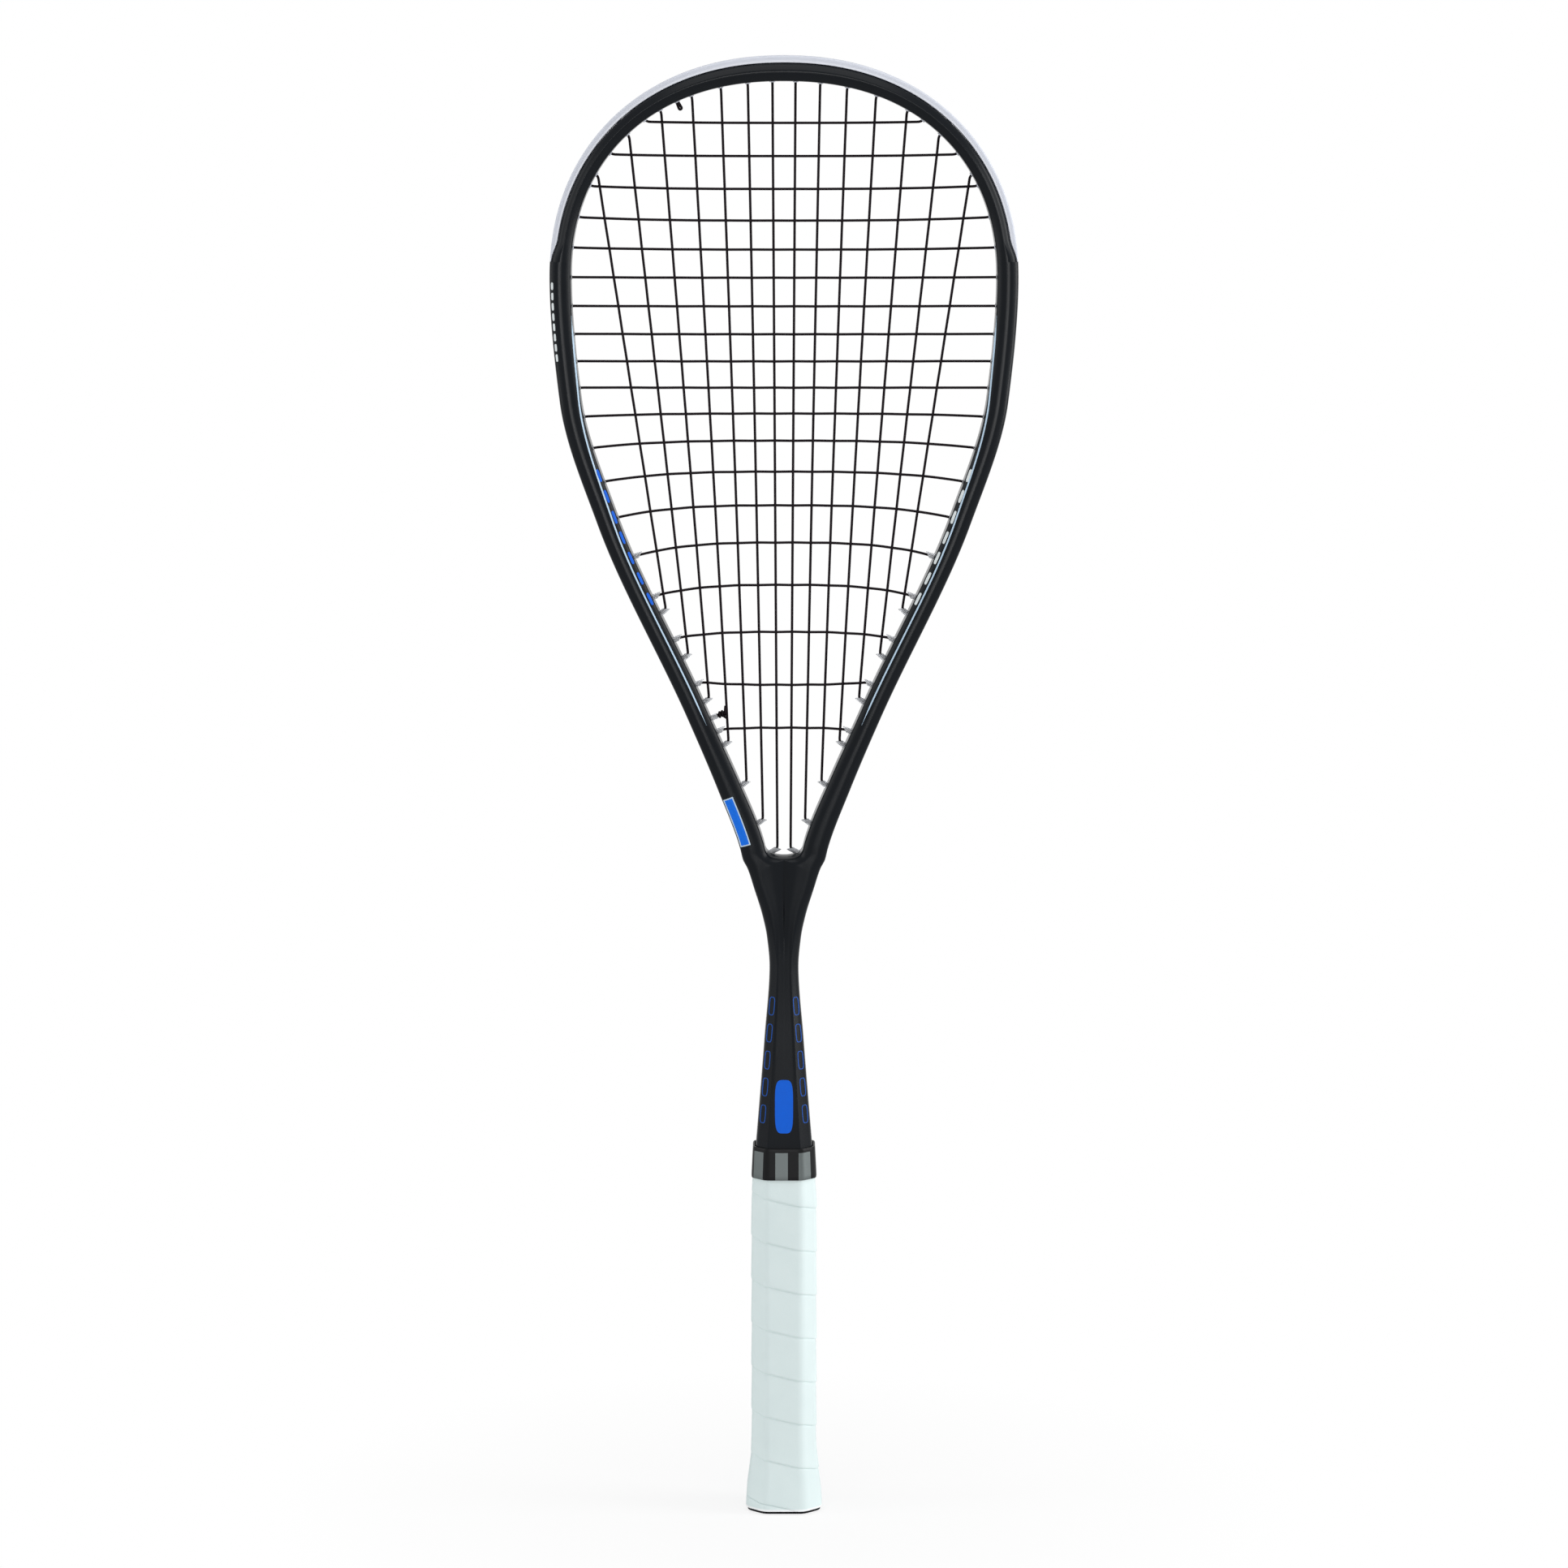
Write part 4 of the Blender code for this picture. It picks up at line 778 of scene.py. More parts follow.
shaft_bars = bars_at(arc_at_height(SHAFT_BARS), SHAFT_BAR_INSET, *SHAFT_BAR_SIZE)
add_print("shaft_outlined_bars", turned(shaft_bars, *all_sides), DULL_BLUE)
along, across = bar(*SHAFT_MARK_SIZE, SHAFT_MARK_SIZE[1] / 2)
mark_arcs = arc_at_height(SHAFT_MARK_HEIGHT) + along
mark_sides = film(mark_arcs, edge_point(mark_arcs)[..., 0] - np.abs(across))
mark_flip = np.stack((np.sign(np.round(across, 9)), 0 * across + 1.0, 0 * across + 1.0), axis=-1)
shaft_mark = [bar_film(*(side * mark_flip for side in mark_sides), True)]
add_print("shaft_bar", turned(shaft_mark, (1.0, 1.0), (-1.0, -1.0)), BRIGHT_BLUE)

# Sticker: a small bare label on the left arm, blue film on a pale border, stuck on by hand.
LABEL_TOP = 0.3413
LABEL_FOOT = 0.3192
LABEL_INSETS = (0.0006, 0.0054)
LABEL_BORDER = 0.00055
LABEL_STEPS = 30
LABEL_LIFT = 0.00011
LABEL_PALE = (0.55, 0.68, 0.80)
LABEL_BLUE = (0.008, 0.165, 0.80)
label_ends = arc_at_height(np.array((LABEL_TOP, LABEL_FOOT)))
for name, border, lift, colour in (("label_border", 0.0, PAINT_LIFT, LABEL_PALE),
                                   ("label_film", LABEL_BORDER, LABEL_LIFT, LABEL_BLUE)):
    label_arcs = np.linspace(label_ends[0] + border, label_ends[1] - border, LABEL_STEPS)
    low_side = np.full(LABEL_STEPS, LABEL_INSETS[0] + border)
    high_side = np.full(LABEL_STEPS, LABEL_INSETS[1] - border)
    add_print(name, turned([band(label_arcs, low_side, high_side, lift)], (-1.0, 1.0)), colour)

# Bumper guard: one milky nylon extrusion round the head, with a channel for the string outside and a
# tongue below that sits in the frame's groove. The barrels of the top holes are moulded on.
BUMPER_HALF = 0.0070
CHANNEL_HALF = 0.0037
CHANNEL_WALL = 0.0006
BARREL_RADIUS = 0.0013
BORE_RADIUS = 0.00098
BARREL_LIP = 0.0022
BARREL_SIDES = 20
BARREL_EDGE = 0.00015
BUMPER_RINGS = 301
BUMPER_CORNERS = (0.0003, 0.0006, 0.0016, 0.0002, 0.0002, 0.0002)


def bumper_rings(arc):
    """Rings of the guard's outline at arcs: two flanges, the channel between them and the tongue."""
    same = np.ones_like(arc)
    under = bumper_seat(arc) - GAP
    tongue = GROOVE_HALF - GAP
    full = ease((bumper_end - np.abs(arc)) / BUMPER_TAPER)
    channel = tongue - CHANNEL_WALL + (CHANNEL_HALF - tongue + CHANNEL_WALL) * full
    below = GROOVE_DEPTH - GAP
    half = ((BASE_TOP * same, channel), (0 * same, channel), (0 * same, BUMPER_HALF * same),
            (under, BUMPER_HALF * same), (under, tongue * same), (below * same, tongue * same))
    half = np.stack([np.column_stack(pair) for pair in half], axis=1)
    corners = np.concatenate((half, half[:, ::-1] * np.array((1.0, -1.0))), axis=1)
    cuts = np.tile(BUMPER_CORNERS + BUMPER_CORNERS[::-1], (len(arc), 1))
    return in_space(edge_point(arc), -edge_normal(arc), rounded(corners, cuts, SMALL_ROUND_STEPS))


def barrel(hole, end_inset, lip=0.0):
    """Closed rings of a barrel: out along its outside, over its round mouth and back down its bore.
    The mouth is cut at a slant, and its side away from the string stands out further by a lip."""
    end = hole.reach(end_inset)
    steps = ((end, BARREL_RADIUS), (KINK_ROOM + BARREL_EDGE, BARREL_RADIUS),
             (KINK_ROOM, BARREL_RADIUS - BARREL_EDGE), (KINK_ROOM, BORE_RADIUS + BARREL_EDGE),
             (KINK_ROOM + BARREL_EDGE, BORE_RADIUS), (end, BORE_RADIUS), (end, BARREL_RADIUS))
    distance, radius = np.array(steps).T
    turn = np.linspace(0.0, 2 * np.pi, BARREL_SIDES, endpoint=False)[:, None]
    round_it = np.cos(turn) * hole.across + np.sin(turn) * BACKWARDS
    at_mouth = (distance < KINK_ROOM + 2 * BARREL_EDGE)[:, None]
    further = distance[:, None] - at_mouth * lip * (0.5 + 0.5 * hole.slant * np.cos(turn.T))
    rings = hole.at(further) + radius[:, None, None] * round_it
    return rings, (grid_faces(*rings.shape[:2], True),)


def add_clear(name, shapes, nodes, nylon):
    """A moulded nylon piece that stands for its CAD nodes."""
    piece = add_piece(name, *gather(shapes), sharp=0.6)
    piece.data.materials.append(nylon)
    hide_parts(*nodes)


milky_nylon = clouded_finish("milky_moulded_nylon", ((0.62, 0.645, 0.72), 0.24, 0.5),
                             (40.0, 0.20, 0.30, 0.0, 0.00002),
                             ((0.58, 0.605, 0.685), (0.66, 0.685, 0.75)))
clear_nylon = clouded_finish("clear_moulded_nylon", ((0.84, 0.86, 0.89), 0.15, 0.5),
                             (90.0, 0.08, 0.18, 0.0, 0.00002),
                             ((0.80, 0.82, 0.86), (0.90, 0.91, 0.93)),
                             (("Transmission Weight", 0.7), ("IOR", 1.45)))
bumper_rows = bumper_rings(np.linspace(-bumper_end, bumper_end, BUMPER_RINGS))
bumper_shapes = [(bumper_rows, tube_faces(*bumper_rows.shape[:2]))]
strip_middle = BASE_TOP + STRIP_THICKNESS / 2
bumper_shapes += [barrel(hole, strip_middle) for hole in holes.values() if abs(hole.arc) < bumper_end]
add_clear("bumper_guard_moulded", bumper_shapes, ("bumper_guard",), milky_nylon)

# Grommet strips: a flat clear strip in the groove on each side, from the bumper guard's end past the
# upper crosses, with one barrel for each hole it lines.
STRIP_RINGS = 90
STRIP_CORNER = 0.00025
strip_start = bumper_end + 2 * GAP
strip_end = (holes["cross_right", LAST_STRIP_CROSS].arc + holes["cross_right", LAST_STRIP_CROSS + 1].arc) / 2
strip_half = GROOVE_HALF - GAP
strip_outline = np.array(((BASE_TOP, -strip_half), (BASE_TOP, strip_half),
                          (GROOVE_DEPTH - GAP, strip_half), (GROOVE_DEPTH - GAP, -strip_half)))
for side, way in (("left", -1.0), ("right", 1.0)):
    strip_arcs = way * np.linspace(strip_start, strip_end, STRIP_RINGS)
    strip_cuts = np.full((STRIP_RINGS, 4), STRIP_CORNER)
    outlines = rounded(np.tile(strip_outline, (STRIP_RINGS, 1, 1)), strip_cuts, SMALL_ROUND_STEPS)
    strip_rows = in_space(edge_point(strip_arcs), -edge_normal(strip_arcs), outlines)
    lined = [hole for hole in holes.values() if strip_start < way * hole.arc < strip_end]
    strip_shapes = [(strip_rows, tube_faces(*strip_rows.shape[:2]))]
    strip_shapes += [barrel(hole, strip_middle) for hole in lined]
    add_clear("grommet_strip_{}_moulded".format(side), strip_shapes, ("grommet_strip_" + side,), clear_nylon)

# Single grommets: clear barrels for the lowest crosses, the lower ends of the mains and the lower
# tie-off. Each leans along its string and has a flange that lies on the groove's floor.
for (kind, number), hole in holes.items():
    if abs(hole.arc) > strip_end:
        along, across = bar(FLANGE_LENGTH, 2 * strip_half, strip_half)
        flange_sides = []
        for inset in (BASE_TOP, GROOVE_DEPTH - GAP):
            flat = edge_point(hole.arc + along, np.full_like(along, inset))
            flange_sides.append(np.stack((flat[..., 0], across, flat[..., 1]), axis=-1))
        node = "grommet_{}_{}".format(kind, number)
        shapes = [bar_film(*flange_sides, True), barrel(hole, strip_middle, BARREL_LIP)]
        add_clear(node + "_moulded", shapes, (node,), clear_nylon)

# String: one length of black multifilament, woven over and under. It runs from a knot at the lower
# left through every main, then every cross from the throat up, to a doubled end at the top left.
WEAVE = 0.00062
LANE_CHANGE = 0.0030
CROSS_BOWS = ((1, -0.0005), (4, -0.0015), (6, -0.0003), (10, -0.0001), (12, 0.0031), (15, 0.0056),
              (17, 0.0026), (18, -0.0012), (19, 0.0007))
STRING_STEP = 0.0010
MEET_ROOM = 0.005
STRING_SIDES = 8
HOLE_STEPS = 12
KNOT_TURNS = 2.6
KNOT_PITCH = 0.00125
KNOT_RADIUS = 0.00105
KNOT_ROOM = 0.0005
KNOT_STEPS = 80
KNOT_START = 0.12
TAIL_STEPS = 14
TAIL_LENGTH = 0.0036
TAIL_LEAN = 0.5
OTHER_TAIL_START = -0.25
OTHER_TAIL_ACROSS = 0.8
OTHER_TAIL_LEAN = 0.45
OTHER_TAIL_RISE = 0.3
DOUBLED_LENGTH = 0.0020
DOUBLED_HALF = 0.00068
DOUBLED_ACROSS = 0.95
DOUBLED_RISE = 0.3
DOUBLED_START = -0.4
DOUBLED_PINCH = 0.6
DOUBLED_STEPS = 8
DOUBLED_TURN_STEPS = 12
TWIST_PITCH = 0.0022
TWIST_STARTS = 3.0


def eased_between(places, values, where):
    """Values along a line, with a soft start and end between each two places."""
    part = np.clip(np.searchsorted(places, where, side="right") - 1, 0, len(places) - 2)
    share = (where - places[part]) / (places[part + 1] - places[part])
    return values[part] + (values[part + 1] - values[part]) * ease(share)


def cross_height(number, x):
    """Height of a cross at an x: bowed, down in the middle at the top of the hoop and up towards the
    throat. The bow falls off from the middle with the cube of the way to the hoop."""
    bow = through(*zip(*CROSS_BOWS), np.asarray(float(number)))
    half = holes["cross_right", number].mouth[0]
    return cross_heights[number - 1] + bow * (1 - np.abs(x / half) ** 3)


def woven(start, end, meets, depths):
    """Points of a string line from one hole's mouth to another's: its depth eases from the layer of
    the first hole to each string it meets, over or under, and to the layer of the last."""
    length = np.linalg.norm(end.mouth - start.mouth)
    along = np.linspace(0.0, 1.0, int(length / STRING_STEP))
    places = np.concatenate(([0.0], meets, [1.0]))
    depth = eased_between(places, np.concatenate(([start.y], depths, [end.y])), along)
    flat = start.mouth + (end.mouth - start.mouth) * along[:, None]
    return np.column_stack((flat[:, 0], depth, flat[:, 1]))


def main_run(number, start, end):
    """A main from its first hole to its last, past every cross between them."""
    numbers = np.arange(1, CROSSES + 1)
    line = end.mouth - start.mouth
    x = start.mouth[0] + line[0] * (cross_heights - start.mouth[1]) / line[1]
    heights = np.array([cross_height(cross, at) for cross, at in zip(numbers, x)])
    meets = (heights - start.mouth[1]) / line[1]
    order = np.argsort(meets)
    order = order[(meets[order] > MEET_ROOM) & (meets[order] < 1 - MEET_ROOM)]
    return woven(start, end, meets[order], WEAVE * (-1.0) ** (number + numbers[order]))


def cross_run(number, start, end):
    """A cross from its first hole to its last, past every main between them, with its bow."""
    numbers = np.arange(1, MAINS + 1)
    feet, ways = (np.array(part) for part in zip(*(main_line(main) for main in numbers)))
    height = cross_heights[number - 1]
    x = feet[:, 0] + ways[:, 0] / ways[:, 1] * (height - feet[:, 1])
    meets = (x - start.mouth[0]) / (end.mouth[0] - start.mouth[0])
    order = np.argsort(meets)
    order = order[(meets[order] > MEET_ROOM) & (meets[order] < 1 - MEET_ROOM)]
    points = woven(start, end, meets[order], -WEAVE * (-1.0) ** (number + numbers[order]))
    points[:, 2] += cross_height(number, points[:, 0]) - cross_heights[number - 1]
    return points


def through_hole(hole, outwards):
    """Points of the string in a hole, from its mouth to the channel or back."""
    points = hole.at(np.linspace(0.0, hole.reach(LANE_INSET), HOLE_STEPS))
    return points if outwards else points[::-1]


def outside_run(start, end, lane=None, room=LANE_CHANGE):
    """Points in the channel from one hole to the next, in a lane beside the others if one is given."""
    way = np.sign(end.arc - start.arc)
    length = abs(end.arc - start.arc)
    travel = np.linspace(0.0, length, max(int(length / STRING_STEP), 4))
    places = (0.0, length) if lane is None else (0.0, LANE_CHANGE, length - room, length)
    depths = (start.y, end.y) if lane is None else (start.y, lane, lane, end.y)
    flat = edge_point(start.arc + way * travel, np.full_like(travel, LANE_INSET))
    depth = eased_between(np.array(places), np.array(depths), travel)
    return np.column_stack((flat[:, 0], depth, flat[:, 1]))


def string_path():
    """The whole route at even steps, with its bends rounded by averaging neighbours."""
    low_knot = holes["tie", "low"]
    top_knot = holes["tie", "top"]
    first = holes["main_low", 1]
    runs = [low_knot.at(np.array((-KNOT_ROOM, 0.0))), through_hole(low_knot, True)]
    runs.append(outside_run(low_knot, first, TIE_LANE))
    for number in range(1, MAINS + 1):
        ends = ("main_low", "main_top") if number % 2 == 1 else ("main_top", "main_low")
        start, end = (holes[side, number] for side in ends)
        runs += [through_hole(start, False), main_run(number, start, end), through_hole(end, True)]
        if number < MAINS:
            runs.append(outside_run(end, holes[ends[1], number + 1]))
    runs.append(outside_run(end, holes["cross_right", CROSSES], TIE_LANE, 3 * LANE_CHANGE))
    for number in range(CROSSES, 0, -1):
        sides = ("cross_right", "cross_left") if number % 2 == 1 else ("cross_left", "cross_right")
        start, end = (holes[side, number] for side in sides)
        runs += [through_hole(start, False), cross_run(number, start, end), through_hole(end, True)]
        after = holes[sides[1], number - 1] if number > 1 else top_knot
        runs.append(outside_run(end, after))
    runs += [through_hole(top_knot, False), top_knot.at(np.array((0.0, -KNOT_ROOM)))]
    path = np.concatenate(runs)
    lengths = lengths_along(path)
    marks = np.linspace(0.0, lengths[-1], int(lengths[-1] / STRING_STEP))
    even = read_line(marks, lengths, path)
    even[1:-1] = (even[:-2] + 2 * even[1:-1] + even[2:]) / 4
    return even


def tube(path, radius, sides, reference):
    """Rings round a path: each turns from the cross product of the path's way and a reference."""
    way = np.gradient(path, axis=0)
    way = unit(way)
    beside = unit(np.cross(way, reference))
    above = np.cross(beside, way)
    turn = np.linspace(0.0, 2 * np.pi, sides, endpoint=False)[:, None]
    rings = path[:, None] + radius * (np.cos(turn) * beside[:, None] + np.sin(turn) * above[:, None])
    return rings, tube_faces(*rings.shape[:2])


def knot(hole):
    """Two tubes at a string's end: a winding round the hole's axis that runs out in a tail, and the
    other tail that the winding holds."""
    share = np.linspace(0.0, 1.0, KNOT_STEPS)
    turn = 2 * np.pi * KNOT_TURNS * share
    out = KNOT_RADIUS * ease(share / KNOT_START)
    axis = np.array((hole.axis[0], 0.0, hole.axis[1]))
    winding = hole.at(-KNOT_ROOM - KNOT_PITCH * KNOT_TURNS * share)
    winding += out[:, None] * (np.cos(turn)[:, None] * hole.across + np.sin(turn)[:, None] * BACKWARDS)
    leave = unit(winding[-1] - winding[-2])
    far = np.linspace(0.0, 1.0, TAIL_STEPS)[1:, None]
    bent = leave * (1 - far) + (hole.across - TAIL_LEAN * axis) * far
    tail = winding[-1] + TAIL_LENGTH * far * bent
    middle = winding[KNOT_STEPS // 2] * 0.5 + hole.at(-KNOT_ROOM - KNOT_PITCH * KNOT_TURNS / 2) * 0.5
    reach = np.linspace(OTHER_TAIL_START, 1.0, TAIL_STEPS)[:, None]
    way = OTHER_TAIL_RISE * BACKWARDS * reach - OTHER_TAIL_ACROSS * hole.across - OTHER_TAIL_LEAN * axis
    other = middle + TAIL_LENGTH * reach * way
    return [tube(np.concatenate((winding, tail)), STRING_RADIUS, STRING_SIDES, axis),
            tube(other, STRING_RADIUS, STRING_SIDES, axis)]


def doubled_end(hole):
    """A tube for a string end that turns back on itself beside its hole: out, half a turn and back."""
    turn = np.linspace(0.0, np.pi, DOUBLED_TURN_STEPS)
    straight = np.linspace(DOUBLED_START, 1.0, DOUBLED_STEPS)[:-1]
    apart = np.linspace(DOUBLED_PINCH, 1.0, DOUBLED_STEPS)[:-1]
    level = np.zeros_like(straight)
    out = np.concatenate((straight, np.ones_like(turn), straight[::-1]))
    aside = np.concatenate((-apart, -np.cos(turn), apart[::-1]))
    bulge = np.concatenate((level, np.sin(turn), level))
    points = hole.at(-(out * DOUBLED_LENGTH + bulge * DOUBLED_HALF))
    points += aside[:, None] * DOUBLED_HALF * (DOUBLED_ACROSS * hole.across + DOUBLED_RISE * BACKWARDS)
    return [tube(points, STRING_RADIUS, STRING_SIDES, BACKWARDS)]


path = string_path()
string_shapes = [tube(path, STRING_RADIUS, STRING_SIDES, BACKWARDS)]
string_shapes += knot(holes["tie", "low"]) + doubled_end(holes["tie", "top"])
string = add_piece("string_woven", *gather(string_shapes), sharp=1.0, merge=False)
corner_index = np.empty(len(string.data.loops), int)
string.data.loops.foreach_get("vertex_index", corner_index)
face_sizes = np.empty(len(string.data.polygons), int)
string.data.polygons.foreach_get("loop_total", face_sizes)
face_of_corner = np.repeat(np.arange(len(string.data.polygons)), face_sizes)
around = corner_index % STRING_SIDES
seam_face = np.zeros(len(string.data.polygons), bool)
seam_face[face_of_corner[around == STRING_SIDES - 1]] = True
around = np.where(seam_face[face_of_corner] & (around == 0), STRING_SIDES, around) / STRING_SIDES
twist_map = string.data.uv_layers.new(name="twist")
along = corner_index // STRING_SIDES * STRING_STEP / TWIST_PITCH
twist_map.data.foreach_set("uv", np.column_stack((along, around)).ravel())
black_string, shader = new_finish("black_multifilament", (0.006, 0.003, 0.005), 0.5, 0.1)
twist = add_node(black_string, "ShaderNodeUVMap", uv_map="twist")
split = add_node(black_string, "ShaderNodeSeparateXYZ")
starts = add_node(black_string, "ShaderNodeMath", operation="MULTIPLY_ADD")
starts.inputs[1].default_value = TWIST_STARTS
whole_turns = add_node(black_string, "ShaderNodeMath", operation="MULTIPLY")
whole_turns.inputs[1].default_value = 2 * np.pi
ridges = add_node(black_string, "ShaderNodeMath", operation="SINE")
relief = add_node(black_string, "ShaderNodeBump", strength=0.35, distance=0.00006)
# The colour follows the twist's ridges, darker in the grooves and lighter on the crests: painted shade in
# the twist.
painted_twist_shade = add_node(black_string, "ShaderNodeMapRange", from_min=-1.0, from_max=1.0)
join(black_string, (twist.outputs["UV"], split.inputs[0]), (split.outputs["Y"], starts.inputs[0]),
     (split.outputs["X"], starts.inputs[2]), (starts.outputs[0], whole_turns.inputs[0]),
     (whole_turns.outputs[0], ridges.inputs[0]), (ridges.outputs[0], relief.inputs["Height"]),
     (relief.outputs["Normal"], shader.inputs["Normal"]), (ridges.outputs[0], painted_twist_shade.inputs["Value"]))
blend_colours(black_string, shader, painted_twist_shade.outputs["Result"], (0.004, 0.002, 0.0034), (0.008, 0.004, 0.0066))
string.data.materials.append(black_string)
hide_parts("string")

# Handle foam: grey polyurethane foamed round the tang in a mould, all of it under the grip and cap.
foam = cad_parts["handle_foam"]
grey_foam = clouded_finish("grey_handle_foam", ((0.18, 0.18, 0.18), 0.9, 0.2),
                           (300.0, 0.8, 1.0, 0.4, 0.0003),
                           ((0.13, 0.13, 0.13), (0.23, 0.23, 0.225)))
foam.data.materials.clear()
foam.data.materials.append(grey_foam)

# Staples: bright steel wire, driven through the sides of the butt cap into the foam.
staple_steel, shader = new_finish("bright_staple_wire", (0.60, 0.60, 0.62), 0.3)
shader.inputs["Metallic"].default_value = 1.0
add_grain(staple_steel, shader, object_place(staple_steel), 500.0, 0.2, 0.42, 0.1, 0.00003)
for side in ("left", "right"):
    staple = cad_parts["butt_staple_" + side]
    staple.data.materials.clear()
    staple.data.materials.append(staple_steel)

# Butt cap: a black moulded cup over the foam's end. Its skirt swells towards the butt, and its lip
# stands out under the grip's last turn. The underside has a shallow dish.
HANDLE_HALF_WIDTH = 0.0136
HANDLE_HALF_DEPTH = 0.0118
HANDLE_CORNER = 0.0056
HANDLE_ROUND = 0.0013
HANDLE_ROUND_STEPS = 9
FLARE = 0.0015
FLARE_HEIGHT = 0.034
SIDE_FLARE = 0.0008
CAP_LIP_HEIGHT = 0.0010
CAP_LIP = 0.0012
CAP_EDGE = ((0.0, 0.0004), (0.0001, 0.00012), (0.0004, 0.0), (0.0008, 0.0), (CAP_LIP_HEIGHT, 0.0002))
CAP_RINGS = 12
CAP_HEIGHT = 0.028
CAP_WALL = 0.0015
CAP_FLOOR = 0.0030
CAP_DISH = 0.0004
DISH_SHARES = np.array((0.0, 0.45, 0.60, 0.66))
DISH_DEPTHS = np.array((1.0, 1.0, 0.6, 0.0))
HANDLE_SIDES = 96
LOOP_SAMPLES = 2401


def handle_loop():
    """Points and outward normals of the handle's octagon with rounded corners, and the share of the
    way round at each, from the front's middle to the right."""
    near = HANDLE_HALF_DEPTH - HANDLE_CORNER
    far = HANDLE_HALF_WIDTH - HANDLE_CORNER
    right = ((far, -HANDLE_HALF_DEPTH), (HANDLE_HALF_WIDTH, -near), (HANDLE_HALF_WIDTH, near))
    right = np.array(right + ((far, HANDLE_HALF_DEPTH),))
    corners = np.concatenate((right, right[::-1] * np.array((-1.0, 1.0))))
    outline = rounded(corners[None], np.full((1, 8), HANDLE_ROUND), HANDLE_ROUND_STEPS)[0]
    outline = np.concatenate(([(0.0, -HANDLE_HALF_DEPTH)], outline, [(0.0, -HANDLE_HALF_DEPTH)]))
    length = lengths_along(outline)
    share = np.linspace(0.0, 1.0, LOOP_SAMPLES)
    even = read_line(share * length[-1], length, outline)
    way = np.roll(even[:-1], -1, axis=0) - np.roll(even[:-1], 1, axis=0)
    way = np.concatenate((way, way[:1]))
    way = unit(way)
    return share, even, np.column_stack((way[:, 1], -way[:, 0])), length[-1]


loop_share, loop_points, loop_normals, handle_round = handle_loop()


def on_handle(share, height, outset):
    """Points round the handle at a share of the way round, set out along the octagon's normal. The
    butt end swells a little more to the sides."""
    share, height, outset = np.broadcast_arrays(share, height, outset)
    part = share % 1.0
    flat = [np.interp(part, loop_share, loop_points[:, axis])
            + outset * np.interp(part, loop_share, loop_normals[:, axis]) for axis in (0, 1)]
    wider = 1 + SIDE_FLARE / HANDLE_HALF_WIDTH * flare(height) / FLARE
    return np.stack((flat[0] * wider, flat[1], height), axis=-1)


def flare(height):
    """How far the butt end swells at a height."""
    return FLARE * ease((FLARE_HEIGHT - np.asarray(height)) / (FLARE_HEIGHT - CAP_LIP_HEIGHT))


handle_shares = np.arange(HANDLE_SIDES) / HANDLE_SIDES
lip = FLARE + CAP_LIP
cap_steps = [(height, lip - cut) for height, cut in CAP_EDGE] + [(CAP_LIP_HEIGHT, FLARE)]
skirt = np.linspace(CAP_LIP_HEIGHT, CAP_HEIGHT, CAP_RINGS)[1:]
cap_heights, cap_outsets = np.array(cap_steps + list(zip(skirt, flare(skirt)))).T
cap_outside = on_handle(handle_shares, cap_heights[:, None], cap_outsets[:, None])
underside = cap_outside[0] * np.column_stack((DISH_SHARES, DISH_SHARES, np.ones(4)))[:, None]
underside[:, :, 2] += CAP_DISH * DISH_DEPTHS[:, None]
cap_inside = on_handle(handle_shares, np.array(((CAP_HEIGHT,), (CAP_FLOOR,))), -CAP_WALL)
floor_middle = cap_inside[1:] * np.array((0.0, 0.0, 1.0))
cap_rows = np.concatenate((underside, cap_outside, cap_inside, floor_middle))
butt_cap = add_piece("butt_cap_moulded", cap_rows, grid_faces(*cap_rows.shape[:2], True), sharp=0.6)
black_plastic = clouded_finish("black_moulded_plastic", ((0.006, 0.006, 0.008), 0.5, 0.12),
                               (220.0, 0.42, 0.6, 0.15, 0.00006),
                               ((0.0045, 0.0045, 0.006), (0.008, 0.008, 0.010)))
butt_cap.data.materials.append(black_plastic)
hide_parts("butt_cap")

# Grip: one white synthetic leather ribbon, wound up the handle with each turn's lower edge over the
# turn below. It is thinned under the finishing tape, and turns in over the cap's lip at the butt.
GRIP_BOTTOM = 0.00125
GRIP_TOP = 0.1665
GRIP_THIN_HEIGHT = 0.150
GRIP_THICKNESS = 0.0017
GRIP_END_THICKNESS = 0.0005
GRIP_PITCH = 0.0211
GRIP_PER_TURN = 120
GRIP_RUN_OUT = 0.95
GRIP_FRONT_TURN = 0.071
GRIP_TUCK = 0.00042
GRIP_EDGE = 0.0011
# Heights over which the grip's foot turns near white: a painted highlight for the floor's light on its
# turned-under edge.
BUTT_HIGHLIGHT_TOP = 0.0026
BUTT_HIGHLIGHT_LOW = 0.0020
GRIP_SIDE_SHARE = 0.06
LOW_EDGE_ROUND = 0.55
LOW_EDGE_MOST = 0.0005
HIGH_EDGE_DIP = 0.0002
HIGH_EDGE_WIDTH = 0.0012
GRIP_UNDER = 0.0001
grip_low_side = np.linspace(0.0, 1.0, 7)[:-1] ** 2 * GRIP_SIDE_SHARE
grip_flat = np.linspace(GRIP_SIDE_SHARE, 1 - GRIP_SIDE_SHARE, 12)
grip_high_side = 1.0 - np.linspace(1.0, 0.0, 5)[1:] ** 1.5 * GRIP_SIDE_SHARE
grip_across = np.concatenate((grip_low_side, grip_flat, grip_high_side))


def grip_thickness(height):
    """The ribbon thins evenly towards its top end, under the tape."""
    return np.interp(height, (GRIP_THIN_HEIGHT, GRIP_TOP), (GRIP_THICKNESS, GRIP_END_THICKNESS))


